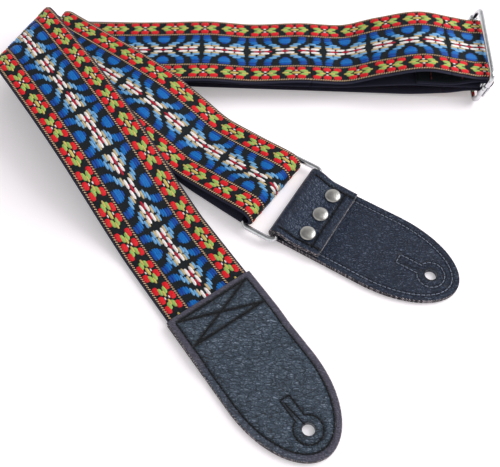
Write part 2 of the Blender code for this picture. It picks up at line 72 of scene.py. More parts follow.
WHITE: Colour = (1.0, 1.0, 1.0)


def linear(red: int, green: int, blue: int) -> Colour:
    """Linear colour of an 8-bit display colour."""
    shares = [v / 255 for v in (red, green, blue)]
    return tuple(v / 12.92 if v <= 0.04045 else ((v + 0.055) / 1.055) ** 2.4 for v in shares)


def heading_vector(degrees: float) -> Array:
    """Unit vector in plan for a heading."""
    angle = math.radians(degrees)
    return np.array([math.cos(angle), math.sin(angle)])


def darker(colour: Colour, share: float) -> Colour:
    """A share of a colour's light."""
    return tuple(c * share for c in colour)


def left_of(direction: Array) -> Array:
    """Plan vector a quarter turn to the left."""
    return np.array([-direction[1], direction[0]])


def smooth(x: Array) -> Array:
    """Smooth step from 0 to 1 as x goes from 0 to 1."""
    x = np.clip(x, 0.0, 1.0)
    return x * x * (3 - 2 * x)


def travelled(*places: Array) -> Array:
    """Distances along a line of points, given as one array for each axis."""
    return np.concatenate(([0.0], np.cumsum(np.sqrt(sum(np.diff(axis) ** 2 for axis in places)))))


class Axis(Enum):
    """The two ways on a strip."""

    ALONG = "X"
    ACROSS = "Y"


@dataclass
class NodeBoard:
    """A node tree, with short ways to add and join nodes."""

    tree: bpy.types.NodeTree

    def node(self, kind: str, feeds: dict[str | int, object] | None = None,
             **settings: object) -> bpy.types.Node:
        """Add a node.

        Args:
            kind: Blender's name of the node, without its ShaderNode prefix.
            feeds: What its inputs take, by name or number: a socket, a number, a vector or a colour.
            settings: Values for its properties.

        Returns:
            The new node.
        """
        made = self.tree.nodes.new("ShaderNode" + kind)
        for name, value in settings.items():
            setattr(made, name, value)
        for name, value in (feeds or {}).items():
            target = made.inputs[name]
            if isinstance(value, Socket):
                self.join(value, target)
            else:
                target.default_value = (*value, 1.0) if target.type == "RGBA" else value
        return made

    def join(self, source: Socket, target: Socket) -> None:
        """Link two sockets."""
        self.tree.links.new(source, target)

    def noise(self, where: Socket, scale: float, detail: float = 2.0) -> Socket:
        """A noise factor, with so many features in a unit of the places."""
        return self.node("TexNoise", {"Vector": where, "Scale": scale, "Detail": detail}).outputs["Fac"]

    def cells(self, where: Socket, scale: float) -> Socket:
        """Distance from the borders of cells, with so many cells in a unit of the places."""
        made = self.node("TexVoronoi", {"Vector": where, "Scale": scale}, feature="DISTANCE_TO_EDGE")
        return made.outputs["Distance"]

    def bands(self, where: Socket, pitch: float, axis: Axis, bent: float = 0.0) -> Socket:
        """Soft bands across an axis, at a pitch in the places' own unit and bent by noise."""
        feeds = {"Vector": where, "Scale": math.pi / (10 * pitch), "Distortion": bent, "Detail": 1.0}
        return self.node("TexWave", feeds, bands_direction=axis.value).outputs["Fac"]

    def math(self, operation: str, a: Socket | float, b: Socket | float) -> Socket:
        """A sum of two sockets or numbers, by Blender's name of the operation."""
        return self.node("Math", {0: a, 1: b}, operation=operation).outputs["Value"]

    def ramp(self, factor: Socket, stops: list[tuple[float, Colour]]) -> Socket:
        """Colour a factor.

        Args:
            factor: The factor.
            stops: Places along it and the colour at each.

        Returns:
            A colour socket.
        """
        made = self.node("ValToRGB", {"Fac": factor})
        knots = made.color_ramp.elements
        while len(knots) < len(stops):
            knots.new(0.5)
        for knot, (place, colour) in zip(knots, stops):
            knot.position = place
            knot.color = (*colour, 1.0)
        return made.outputs["Color"]

    def mix(self, factor: Socket, a: Socket | Colour, b: Socket | Colour) -> Socket:
        """Blend two colours, from the first to the second."""
        return self.node("Mix", {0: factor, 6: a, 7: b}, data_type="RGBA").outputs[2]

    def seen(self) -> Socket:
        """Tell rays that show a surface, straight or in a mirror or through glass, from other light.

        Returns:
            A value socket, 1 for such rays and else 0.
        """
        rays = self.node("LightPath").outputs
        direct = self.math("MAXIMUM", rays["Is Camera Ray"], rays["Is Glossy Ray"])
        return self.math("MAXIMUM", direct, rays["Is Transmission Ray"])


class Coat(NodeBoard):
    """A material's node tree, with ways to feed its shader."""

    def __init__(self, name: str) -> None:
        """Start a material.

        Args:
            name: Name of the material.
        """
        self.material = bpy.data.materials.new(name)
        self.material.use_nodes = True
        super().__init__(self.material.node_tree)
        self.shader = self.tree.nodes["Principled BSDF"]

    def strip_map(self, turn: float = 0.0, stretch: Pair = (1.0, 1.0)) -> Socket:
        """Millimetres along and across the piece, turned and stretched.

        Args:
            turn: Degrees from the piece's length to the map's first axis.
            stretch: How much longer features get along the map's axes.

        Returns:
            A vector socket.
        """
        places = self.node("UVMap", uv_map="UVMap").outputs["UV"]
        feeds = {"Vector": places, "Scale": (*stretch, 1.0), "Rotation": (0.0, 0.0, math.radians(turn))}
        return self.node("Mapping", feeds, vector_type="TEXTURE").outputs["Vector"]

    def mark(self, name: str) -> Socket:
        """A number carried by the piece's points, 0 where there is none."""
        return self.node("Attribute", attribute_name=name).outputs["Fac"]

    def bump(self, height: Socket, depth: float, strength: float = 1.0) -> None:
        """Raise the surface by a height factor, to a depth in metres."""
        made = self.node("Bump", {"Height": height, "Strength": strength, "Distance": depth})
        self.join(made.outputs["Normal"], self.shader.inputs["Normal"])

    def paint(self, colour: Socket) -> None:
        """Feed the shader's base colour."""
        self.join(colour, self.shader.inputs["Base Color"])

    def set(self, **values: float | tuple[float, ...]) -> None:
        """Set uniform values on the shader's own sockets, spaces written as underscores."""
        for name, value in values.items():
            self.shader.inputs[name.replace("_", " ")].default_value = value


@dataclass(frozen=True)
class ThreadFinish:
    """Satin thread: fine strands along the strap, each a little lighter or darker."""

    name: str
    colour: Colour
    strand_pitch_mm: float = 0.32
    strand_wobble: float = 1.5
    strand_share: float = 0.45
    strand_depth: float = 0.00012
    strand_strength: float = 0.7
    patch_scale: float = 1.4
    shade: float = 0.62
    roughness: float = 0.46
    shine: float = 0.26

    def material(self) -> bpy.types.Material:
        """Make the thread's material.

        Returns:
            The new material.
        """
        board = Coat(self.name)
        where = board.strip_map()
        strands = board.bands(where, self.strand_pitch_mm, Axis.ACROSS, self.strand_wobble)
        patches = board.noise(where, self.patch_scale)
        mixed = board.math("ADD", board.math("MULTIPLY", strands, self.strand_share), patches)
        tint = tuple(min(1.0, c * 1.14 + 0.006) for c in self.colour)
        stops = [(0.30, darker(self.colour, self.shade)), (0.72, self.colour), (1.0, tint)]
        board.paint(board.ramp(mixed, stops))
        board.bump(strands, self.strand_depth, self.strand_strength)
        board.set(Roughness=self.roughness, Specular_IOR_Level=self.shine)
        return board.material


@dataclass(frozen=True)
class WeaveFinish:
    """Plain weave: crossing threads with flecks of another colour."""

    name: str
    colour: Colour
    fleck: Colour
    pitch_mm: float
    turn: float = 0.0
    roughness: float = 0.72
    fleck_share: float = 0.30
    fleck_fade: float = 0.12
    fleck_scale: float = 2.6
    weft_share: float = 0.8
    thread_wobble: float = 0.6
    cloth_share: float = 0.25
    cloth_depth: float = 0.00018
    cloth_strength: float = 0.8
    shade: float = 0.55
    shine: float = 0.14

    def material(self) -> bpy.types.Material:
        """Make the weave's material.

        Returns:
            The new material.
        """
        board = Coat(self.name)
        where = board.strip_map(self.turn)
        warp = board.bands(where, self.pitch_mm, Axis.ALONG, self.thread_wobble)
        weft = board.bands(where, self.pitch_mm * self.weft_share, Axis.ACROSS, self.thread_wobble)
        cloth = board.math("MULTIPLY", warp, weft)
        flecks = board.noise(where, self.fleck_scale, 3.0)
        mixed = board.math("ADD", board.math("MULTIPLY", cloth, self.cloth_share), flecks)
        edge = 1.0 - self.fleck_share
        stops = [(0.35, darker(self.colour, self.shade)), (0.55, self.colour), (edge, self.colour)]
        board.paint(board.ramp(mixed, stops + [(edge + self.fleck_fade, self.fleck)]))
        board.bump(cloth, self.cloth_depth, self.cloth_strength)
        board.set(Roughness=self.roughness, Specular_IOR_Level=self.shine)
        return board.material


@dataclass(frozen=True)
class LeatherFinish:
    """Grained leather: creases one way, pebbles between them, painted shade in the creases and highlight on
    the ridges.
    """

    name: str
    painted_shade_valley: Colour
    colour: Colour
    painted_highlight_ridge: Colour
    crease_turn: float
    rim: Colour
    roughness: float
    shine: float
    wrinkle: float
    specks: float
    crease_scale: float = 1.30
    crease_stretch: float = 2.5
    wobble_scale: float = 0.30
    wobble_shift: float = 1.8
    crease_gain: float = 2.4
    crease_top: float = 0.55
    fold_scale: float = 0.48
    fold_gain: float = 2.0
    fold_top: float = 0.34
    fold_base: float = 0.22
    pore_scale: float = 3.4
    pore_share: float = 0.22
    patch_scale: float = 0.11
    patch_share: float = 0.30
    worn_share: float = 0.20
    speck_scale: float = 0.95
    speck_stretch: float = 1.6
    nap_scale: float = 2.2
    depth: float = 0.0009
    strength: float = 0.9
    rim_shade: float = 0.6
    groove_shade: float = 0.22

    def grain(self, board: Coat) -> tuple[Socket, Socket]:
        """Add the leather's relief.

        Args:
            board: The material's node tree.

        Returns:
            Height of the creases alone, and of creases, wrinkles and pores together.
        """
        flat = board.strip_map()
        creased = board.strip_map(self.crease_turn, (self.crease_stretch, 1.0))
        wobble = board.node("TexNoise", {"Vector": flat, "Scale": self.wobble_scale, "Detail": 2.0})
        feeds = {0: wobble.outputs["Color"], "Scale": self.wobble_shift}
        shift = board.node("VectorMath", feeds, operation="SCALE").outputs["Vector"]
        moved = board.node("VectorMath", {0: creased, 1: shift}, operation="ADD").outputs["Vector"]
        creases = board.math("MULTIPLY", board.cells(moved, self.crease_scale), self.crease_gain)
        creases = board.math("MINIMUM", creases, self.crease_top)
        folds = board.math("MULTIPLY", board.cells(moved, self.fold_scale), self.fold_gain)
        folds = board.math("SUBTRACT", board.math("MINIMUM", folds, self.fold_top), self.fold_base)
        wrinkles = board.math("MULTIPLY", folds, self.wrinkle)
        pores = board.math("MULTIPLY", board.noise(flat, self.pore_scale), self.pore_share)
        return creases, board.math("ADD", board.math("ADD", creases, wrinkles), pores)

    def skin(self, board: Coat, height: Socket) -> Socket:
        """Colour the skin by relief: painted shade in creases, painted highlight on ridges, pale specks.

        Args:
            board: The material's node tree.
            height: Height of the relief.

        Returns:
            A colour socket.
        """
        patches = board.noise(board.strip_map(), self.patch_scale)
        patches = board.math("MULTIPLY", patches, self.patch_share)
        worn = board.math("MULTIPLY", board.mark("worn"), self.worn_share)
        tone = board.math("ADD", board.math("ADD", height, patches), worn)
        # Painted shade and highlight: low relief takes the valley colour, high relief the pale ridge
        # colour.
        stops = [(0.24, self.painted_shade_valley), (0.44, self.colour), (0.74, self.colour), (0.98, self.painted_highlight_ridge)]
        along = board.strip_map(self.crease_turn, (self.speck_stretch, 1.0))
        dots = board.noise(along, self.speck_scale, 1.0)
        dots = board.ramp(dots, [(0.64, BLACK), (0.74, darker(WHITE, self.specks))])
        pale = tuple(min(1.0, 2.0 * c) for c in self.painted_highlight_ridge)
        return board.mix(dots, board.ramp(tone, stops), pale)

    def material(self) -> bpy.types.Material:
        """Make the leather's material.

        Returns:
            The new material.
        """
        board = Coat(self.name)
        creases, height = self.grain(board)
        nap = board.noise(board.strip_map(), self.nap_scale, 4.0)
        nap = board.math("ADD", nap, board.math("MULTIPLY", creases, 0.5))
        suede = board.ramp(nap, [(0.42, darker(self.rim, self.rim_shade)), (0.78, self.rim)])
        whole = board.mix(board.mark("rim"), self.skin(board, height), suede)
        # Painted shade: seam grooves and the button hole's rim are coloured near black.
        board.paint(board.mix(board.mark("groove"), whole, darker(self.painted_shade_valley, self.groove_shade)))
        board.bump(height, self.depth, self.strength)
        board.set(Roughness=self.roughness, Specular_IOR_Level=self.shine)
        return board.material


@dataclass(frozen=True)
class FibreFinish:
    """Cut leather edge: dark, with pale loose fibres."""

    name: str
    colour: Colour
    fibre: Colour
    fibre_from: float = 0.60
    fuzz_scale: float = 1.7
    fuzz_depth: float = 0.0004
    fuzz_strength: float = 0.8
    shade: float = 0.5

    def material(self) -> bpy.types.Material:
        """Make the cut edge's material.

        Returns:
            The new material.
        """
        board = Coat(self.name)
        fuzz = board.noise(board.strip_map(), self.fuzz_scale, 4.0)
        stops = [(0.35, darker(self.colour, self.shade)), (0.52, self.colour)]
        board.paint(board.ramp(fuzz, stops + [(self.fibre_from, self.fibre)]))
        board.bump(fuzz, self.fuzz_depth, self.fuzz_strength)
        board.set(Roughness=0.9, Sheen_Weight=0.3, Specular_IOR_Level=0.2)
        return board.material


@dataclass(frozen=True)
class MetalFinish:
    """Plated metal with faint polishing marks."""

    name: str
    colour: Colour
    roughness: float
    mark_scale: float = 420.0
    mark_depth: float = 0.000004
    mark_strength: float = 0.15
    shade: float = 0.82

    def material(self) -> bpy.types.Material:
        """Make the metal's material.

        Returns:
            The new material.
        """
        board = Coat(self.name)
        places = board.node("TexCoord").outputs["Object"]
        marks = board.noise(places, self.mark_scale)
        stops = [(0.30, darker(self.colour, self.shade)), (0.62, self.colour)]
        board.paint(board.ramp(marks, stops))
        feeds = {"Value": marks, "To Min": self.roughness * 0.7, "To Max": self.roughness * 1.5}
        spread = board.node("MapRange", feeds)
        board.join(spread.outputs["Result"], board.shader.inputs["Roughness"])
        board.bump(marks, self.mark_depth, self.mark_strength)
        board.set(Metallic=1.0)
        return board.material


class Thread(Enum):
    """Thread colours of the ribbon and its seams."""

    RED = ThreadFinish("red_thread", linear(224, 18, 32))
    CRIMSON = ThreadFinish("crimson_thread", linear(188, 14, 48))
    GREEN = ThreadFinish("green_thread", linear(158, 194, 98))
    OLIVE = ThreadFinish("olive_thread", linear(212, 192, 104))
    ROYAL = ThreadFinish("royal_blue_thread", linear(0, 72, 162))
    BLUE = ThreadFinish("blue_thread", linear(6, 112, 194))
    SKY = ThreadFinish("sky_blue_thread", linear(118, 176, 222))
    WHITE = ThreadFinish("white_thread", linear(246, 240, 238))
    TAN = ThreadFinish("tan_thread", linear(206, 184, 138))
    BEIGE = ThreadFinish("beige_thread", linear(226, 205, 158), 0.22)
    RUST = ThreadFinish("rust_thread", linear(118, 40, 42), 0.22)
    GREY = ThreadFinish("grey_thread", linear(128, 138, 160), 0.2)
    SEAM = ThreadFinish("seam_thread", linear(9, 11, 16), 0.2)


class Surface(Enum):
    """Finishes of everything that isn't a float of the ribbon."""

    GROUND = WeaveFinish("ribbon_ground", linear(24, 32, 36), linear(80, 68, 74), 0.62, 0.0, 0.75, 0.28)
    WEBBING = WeaveFinish("webbing_weave", linear(50, 51, 68), linear(78, 80, 98), 1.25, -38.0, 0.66, 0.24)
    FRONT_LEATHER = LeatherFinish(
        "front_leather", linear(21, 30, 39), linear(56, 73, 91), linear(110, 123, 140), 52.0,
        linear(90, 88, 106), 0.31, 0.50, 1.1, 0.14
    )
    REAR_LEATHER = LeatherFinish(
        "rear_leather", linear(11, 19, 33), linear(27, 40, 63), linear(84, 96, 116), -30.0,
        linear(40, 44, 58), 0.33, 0.38, 0.5, 0.34
    )
    FIBRES = FibreFinish("cut_edge", linear(46, 42, 50), linear(206, 198, 202), 0.60)
    CHROME = MetalFinish("chrome", (0.66, 0.67, 0.69), 0.13)
    NICKEL = MetalFinish("nickel", (0.50, 0.49, 0.47), 0.30)


Finish = Thread | Surface


@dataclass
class Palette:
    """Makes each finish's material once."""

    made: dict[Finish, bpy.types.Material] = field(default_factory=dict)

    def material(self, finish: Finish) -> bpy.types.Material:
        """The material of a finish, made the first time."""
        self.made[finish] = self.made.get(finish) or finish.value.material()
        return self.made[finish]


@dataclass
class Sketch:
    """Points and faces of one piece, gathered grid by grid."""

    palette: Palette
    points: list[Array] = field(default_factory=list)
    places: list[Array] = field(default_factory=list)
    faces: list[tuple[int, ...]] = field(default_factory=list)
    slots: list[int] = field(default_factory=list)
    finishes: list[Finish] = field(default_factory=list)
    count: int = 0

    def slot(self, finish: Finish) -> int:
        """The material slot of a finish, added if it isn't there."""
        self.finishes += [] if finish in self.finishes else [finish]
        return self.finishes.index(finish)

    def grid(self, points: Array, places: Array, finish: Finish, closed: bool = False,
             looped: bool = False, column_finish: dict[int, Surface] | None = None) -> int:
        """Add a grid of quads.

        Args:
            points: Places of the corners, rows by columns by 3.
            places: Millimetres along and across, rows by columns by 2.
            finish: Finish of the quads.
            closed: Whether the last column joins the first.
            looped: Whether the last row joins the first.
            column_finish: Other finishes, by column.

        Returns:
            Index of the grid's first point.
        """
        rows, columns = points.shape[:2]
        first = self.count
        self.points.append(points.reshape(-1, 3))
        self.places.append(places.reshape(-1, 2))
        self.count += rows * columns
        usual = self.slot(finish)
        special = {j: self.slot(f) for j, f in (column_finish or {}).items()}
        for i in range(rows if looped else rows - 1):
            here = first + i * columns
            there = first + (i + 1) % rows * columns
            for j in range(columns if closed else columns - 1):
                k = (j + 1) % columns
                self.faces.append((here + j, here + k, there + k, there + j))
                self.slots.append(special.get(j, usual))
        return first

    def cap(self, indices: list[int], finish: Finish) -> None:
        """Close an end with one face."""
        self.faces.append(tuple(indices))
        self.slots.append(self.slot(finish))

    def tube(self, points: Array, places: Array, finish: Surface, ends: Surface,
             column_finish: dict[int, Surface] | None = None) -> None:
        """Add a closed skin of rings, with a cap on each end.

        Args:
            points: Places of the corners, rows by columns by 3.
            places: Millimetres along and across, rows by columns by 2.
            finish: Finish of the skin.
            ends: Finish of the caps.
            column_finish: Other finishes, by column.
        """
        first = self.grid(points, places, finish, closed=True, column_finish=column_finish)
        rows, columns = points.shape[:2]
        last = first + (rows - 1) * columns
        self.cap([first + j for j in reversed(range(columns))], ends)
        self.cap([last + j for j in range(columns)], ends)

    def build(self, name: str) -> Piece:
        """Make the object.

        Args:
            name: Name of the piece.

        Returns:
            The new mesh object, in the scene.
        """
        mesh = bpy.data.meshes.new(name)
        mesh.from_pydata(np.concatenate(self.points).tolist(), [], self.faces)
        layer = mesh.uv_layers.new(name="UVMap")
        corners = np.empty(len(mesh.loops), dtype=np.int32)
        mesh.loops.foreach_get("vertex_index", corners)
        layer.uv.foreach_set("vector", np.concatenate(self.places)[corners].astype(np.float32).ravel())
        mesh.polygons.foreach_set("material_index", np.array(self.slots, dtype=np.int32))
        mesh.polygons.foreach_set("use_smooth", np.full(len(self.faces), True))
        for finish in self.finishes:
            mesh.materials.append(self.palette.material(finish))
        mesh.update()
        obj = bpy.data.objects.new(name, mesh)
        bpy.context.scene.collection.objects.link(obj)
        return obj


def outward(obj: Piece) -> Piece:
    """Turn a closed piece's faces outwards.

    Args:
        obj: The piece.

    Returns:
        The same piece.
    """
    bpy.context.view_layer.objects.active = obj
    for other in bpy.context.selected_objects:
        other.select_set(False)
    obj.select_set(True)
    bpy.ops.object.mode_set(mode="EDIT")
    bpy.ops.mesh.select_all(action="SELECT")
    bpy.ops.mesh.normals_make_consistent(inside=False)
    bpy.ops.object.mode_set(mode="OBJECT")
    return obj


@dataclass
class Profile:
    """Smooth height along a run, through chosen (distance, height) points."""

    points: list[Pair]

    def __post_init__(self) -> None:
        """Choose the slope at each point, so that no height overshoots."""
        self.u, self.z = np.array(self.points).T
        steps = np.diff(self.z) / np.diff(self.u)
        before, after = steps[:-1], steps[1:]
        same_way = before * after > 0
        mean = np.where(same_way, 2 * before * after / np.where(same_way, before + after, 1.0), 0.0)
        self.slope = np.concatenate(([0.0], mean, [0.0]))

    def height(self, u: Array) -> tuple[Array, Array]:
        """Find heights along the run.

        Args:
            u: Distances along the run.

        Returns:
            Height and slope at each.
        """
        u = np.clip(u, self.u[0], self.u[-1])
        i = np.clip(np.searchsorted(self.u, u) - 1, 0, len(self.u) - 2)
        span = self.u[i + 1] - self.u[i]
        x = (u - self.u[i]) / span
        rise = self.z[i + 1] - self.z[i]
        a = self.slope[i] * span
        b = self.slope[i + 1] * span
        z = self.z[i] + a * x + (3 * rise - 2 * a - b) * x**2 + (a + b - 2 * rise) * x**3
        slope = (a + 2 * (3 * rise - 2 * a - b) * x + 3 * (a + b - 2 * rise) * x**2) / span
        return z, slope


@dataclass
class Run:
    """A straight stretch of strap in plan, heading for its left bend.

    Its outer value is 1 where the ribbon faces up, and -1 where it faces down.
    """

    start: Array
    heading: float
    heights: list[Pair]
    outer: float
    end: float = 0.0

    def __post_init__(self) -> None:
        """Work out its directions and its profile."""
        self.along = heading_vector(self.heading)
        self.across = left_of(self.along)
        self.profile = Profile(self.heights)

    def place(self, u: Array, t: Array, offset: Array) -> Array:
        """Places on the strap.

        Args:
            u: Distances along the run.
            t: Distances across.
            offset: Distances from the strap's middle towards its outer face.

        Returns:
            Points, one row each.
        """
        z, slope = self.profile.height(u)
        lean = offset * self.outer / np.hypot(1.0, slope)
        plan = self.start + (u - slope * lean)[:, None] * self.along + t[:, None] * self.across
        return np.column_stack([plan, z + lean])


class Bend:
    """Half a turn of strap round a level axis, from a lower run to an upper one."""

    def __init__(self, lower: Run, upper: Run, low: float, high: float, left: bool = True) -> None:
        """Fit the bend between two runs.

        Args:
            lower: The run below.
            upper: The run above.
            low: Height of the lower run at the bend.
            high: Height of the upper run at the bend.
            left: Whether the bend is at the runs' far ends, where they are then cut to length.
                Otherwise it is at their starts, and the upper run's start moves to it.
        """
        side = 1.0 if left else -1.0
        self.low = low
        self.radius = (high - low) / 2
        along = side * lower.along
        axis = along - side * upper.along
        if np.linalg.norm(axis) < 1e-9:
            axis = left_of(along)
        self.axis = axis / np.linalg.norm(axis)
        self.normal = left_of(self.axis)
        if self.normal @ along < 0:
            self.normal = -self.normal
        self.forward = along @ self.normal
        self.sideways = lower.across @ self.normal
        self.drift_along = along @ self.axis
        self.drift_across = lower.across @ self.axis
        self.length = math.pi * self.radius / self.forward
        drift = self.length * self.drift_along * self.axis
        self.centre = lower.start
        if left:
            reach = (upper.start - lower.start - drift) @ upper.across
            reach /= lower.along @ upper.across
            self.centre = lower.start + reach * lower.along
            lower.end = reach
            upper.end = (self.centre + drift - upper.start) @ upper.along
        else:
            upper.start = lower.start + drift

    @property
    def skew(self) -> float:
        """How far the bend's starting line leans along the strap, for each step across."""
        return -self.sideways / self.forward

    def place(self, d: Array, t: Array, offset: Array) -> Array:
        """Places on the bend.

        Args:
            d: Distances from the bend's start along the strap's middle.
            t: Distances across.
            offset: Distances from the strap's middle towards its outer face.

        Returns:
            Points, one row each.
        """
        angle = (d * self.forward + t * self.sideways) / self.radius
        y = d * self.drift_along + t * self.drift_across
        r = self.radius + offset
        plan = self.centre + y[:, None] * self.axis + (r * np.sin(angle))[:, None] * self.normal
        return np.column_stack([plan, self.low + self.radius - r * np.cos(angle)])


@dataclass
class Leg:
    """One run or bend of a course, travelled one way."""

    path: Run | Bend
    start: float
    way: float
    length: float

    @property
    def lean(self) -> float:
        """Skew of the leg's starting line, if it is a bend."""
        return self.way * self.path.skew if isinstance(self.path, Bend) else 0.0

    def place(self, d: Array, t: Array, offset: Array) -> Array:
        """Places on the leg, by distance travelled along it."""
        return self.path.place(self.start + self.way * d, t, offset)


@dataclass
class Course:
    """A length of strap on one body: the CAD nodes it stands for, without their strip's name, and its legs.

    The pattern has a pair of lozenges at the distance pair_at along it.
    """

    name: str
    body: str
    nodes: tuple[str, ...]
    legs: list[Leg]
    pair_at: float

    def __post_init__(self) -> None:
        """Join the legs."""
        self.starts = np.concatenate(([0.0], np.cumsum([leg.length for leg in self.legs])))
        self.length = float(self.starts[-1])
        self.leans = np.zeros(len(self.legs))
        for i, leg in enumerate(self.legs):
            after_bend = i > 0 and isinstance(self.legs[i - 1].path, Bend)
            self.leans[i] = self.legs[i - 1].lean if after_bend else leg.lean

    def place(self, s: Array, t: Array, offset: Array) -> Array:
        """Places on the strap.

        Args:
            s: Distances along the course.
            t: Distances across.
            offset: Distances from the strap's middle towards the ribbon's face.

        Returns:
            A point for each, in the same rows and columns.
        """
        index = np.zeros(s.shape, dtype=int)
        for i in range(1, len(self.legs)):
            index[s >= self.starts[i] + self.leans[i] * t] = i
        points = np.empty((*s.shape, 3))
        for i, leg in enumerate(self.legs):
            on = index == i
            if on.any():
                points[on] = leg.place(s[on] - self.starts[i], t[on], offset[on])
        return points

    def stations(self, half: float, coarse: float, fine: float) -> Array:
        """Choose distances for rows of points, closer together on the bends.

        Args:
            half: Half width of the strip.
            coarse: Step on the runs.
            fine: Step on the bends.

        Returns:
            Distances along the course.
        """
        marks = {0.0, self.length}
        marks.update(np.arange(0.0, self.length, coarse))
        for i, leg in enumerate(self.legs):
            if isinstance(leg.path, Bend):
                spare = abs(leg.lean) * half + fine
                low = max(0.0, self.starts[i] - spare)
                high = min(self.length, self.starts[i + 1] + spare)
                marks = {m for m in marks if not low < m < high} | set(np.arange(low, high, fine))
        rows = np.array(sorted(marks))
        keep = np.concatenate(([True], np.diff(rows) > fine / 3))
        keep[-1] = True
        return rows[keep]


@dataclass
class Lay:
    """The strap's lay on the table: fixed points, headings and heights of its runs."""

    strap_thickness: float = 0.0023
    webbing_thickness: float = 0.0012
    clearance: float = CLEARANCE
    tab_edge: Pair = (-0.01937, -0.05748)
    slider: Pair = (0.14423, 0.10602)
    ring_bar: Pair = (0.01203, 0.00972)
    front_heading: float = 125.5
    base_heading: float = 177.4
    upper_heading: float = 179.9
    return_heading: float = 178.7
    ring_heading: float = 143.6
    upper_rest: float = 0.0155
    return_rest: float = 0.0098
    under_rest: float = 0.0206
    over_rest: float = 0.0252
    front_rest: float = 0.0318
    ring_loop_radius: float = 0.0058
    loop_spare: float = 0.0005
    back_leather: float = 0.0014
    slider_wire: float = 0.0032
    slider_pitch: float = 0.011
    slider_tilt: float = 75.0
    insert: float = 0.023
    slack_start: float = 0.022
    slack_end: float = 0.105
    tail: float = 0.040
    front_pair_at: float = 0.0379
    upper_pair_at: float = 0.0070
    over_pair_at: float = 0.0445

    def __post_init__(self) -> None:
        """Work out the heights that follow, then lay the runs and bends."""
        self.half = self.strap_thickness / 2
        self.layer = self.strap_thickness + self.clearance
        self.anchor_radius = self.slider_wire / 2 + self.clearance + self.half
        self.turn_radius = self.anchor_radius + self.strap_thickness + self.loop_spare
        rise = self.slider_pitch * math.sin(math.radians(self.slider_tilt))
        self.bar_height = self.slider_wire / 2 + rise
        self.runs()
        self.bends()

    def runs(self) -> None:
        """Lay the straight runs, with the heights that let each clear the one below.

        Each point of a list is a distance along the run and a height there.
        """
        in_tab = self.back_leather + self.clearance + self.half
        turn_low = self.bar_height - self.turn_radius
        turn_high = self.bar_height + self.turn_radius
        anchor_low = self.bar_height - self.anchor_radius
        ring_low = self.half
        ring_high = self.half + 2 * self.ring_loop_radius
        front_top, upper_top, back_top = self.front_rest, self.upper_rest, self.return_rest
        front = [(0.000, in_tab), (0.040, in_tab + 0.0004), (0.062, in_tab + 0.0058),
                 (0.085, in_tab + 0.0150), (0.110, front_top - 0.0052), (0.138, front_top - 0.0012),
                 (0.165, front_top)]
        base = [(0.004, turn_low), (0.020, turn_low - 0.0030), (0.048, self.half)]
        upper = [(0.003, turn_high), (0.014, turn_high + 0.0022), (0.037, turn_high + 0.0070),
                 (0.062, upper_top + 0.0045), (0.086, upper_top - 0.0020), (0.111, upper_top - 0.0004),
                 (0.139, upper_top - 0.0016), (0.170, upper_top + 0.0010), (0.200, upper_top + 0.0002),
                 (0.224, upper_top)]
        back = [(0.002, anchor_low), (0.022, anchor_low + 0.0004), (0.042, anchor_low + 0.0012),
                (0.064, back_top - 0.0008), (0.088, back_top - 0.0028), (0.139, back_top - 0.0018),
                (0.170, back_top - 0.0004), (0.200, back_top)]
        under = [(0.000, ring_low), (0.034, ring_low + 0.0003), (0.060, ring_low + 0.0056),
                 (0.088, self.under_rest - 0.0016), (0.122, self.under_rest)]
        over = [(0.000, ring_high), (0.022, ring_high - 0.0018), (0.044, ring_high - 0.0030),
                (0.066, self.over_rest - 0.0088), (0.090, self.over_rest - 0.0020), (0.120, self.over_rest)]
        tail = [(0.002, self.bar_height + self.anchor_radius), (0.020, anchor_low + 0.0003 + self.layer),
                (0.042, anchor_low + 0.0014 + self.layer)]
        slider, ring = np.array(self.slider), np.array(self.ring_bar)
        self.front = Run(np.array(self.tab_edge), self.front_heading, front, 1.0)
        self.base = Run(slider, self.base_heading, base, -1.0)
        self.upper = Run(slider, self.upper_heading, upper, 1.0)
        self.back = Run(slider, self.return_heading, back, -1.0)
        self.under = Run(ring, self.ring_heading, under, -1.0)
        self.over = Run(ring, self.ring_heading, over, 1.0)
        self.tail_run = Run(slider, self.return_heading, tail, 1.0)

    def bends(self) -> None:
        """Join the runs with half turns."""
        low, high = self.bar_height - self.turn_radius, self.bar_height + self.turn_radius
        self.turn = Bend(self.base, self.upper, low, high, left=False)
        low, high = self.bar_height - self.anchor_radius, self.bar_height + self.anchor_radius
        self.anchor = Bend(self.back, self.tail_run, low, high, left=False)
        high = self.half + 2 * self.ring_loop_radius
        self.ring_loop = Bend(self.under, self.over, self.half, high, left=False)
        self.outer_bend = Bend(self.base, self.front, self.half, self.front_rest)
        self.middle_bend = Bend(self.back, self.over, self.return_rest, self.over_rest)
        self.inner_bend = Bend(self.upper, self.under, self.upper_rest, self.under_rest)

    @staticmethod
    def along(run: Run, u_from: float, u_to: float) -> Leg:
        """A leg on a run, from one distance to another."""
        return Leg(run, u_from, 1.0 if u_to > u_from else -1.0, abs(u_to - u_from))

    @staticmethod
    def round(bend: Bend, downwards: bool = False) -> Leg:
        """A leg round a bend, up from its lower run or down from its upper one."""
        return Leg(bend, bend.length if downwards else 0.0, -1.0 if downwards else 1.0, bend.length)

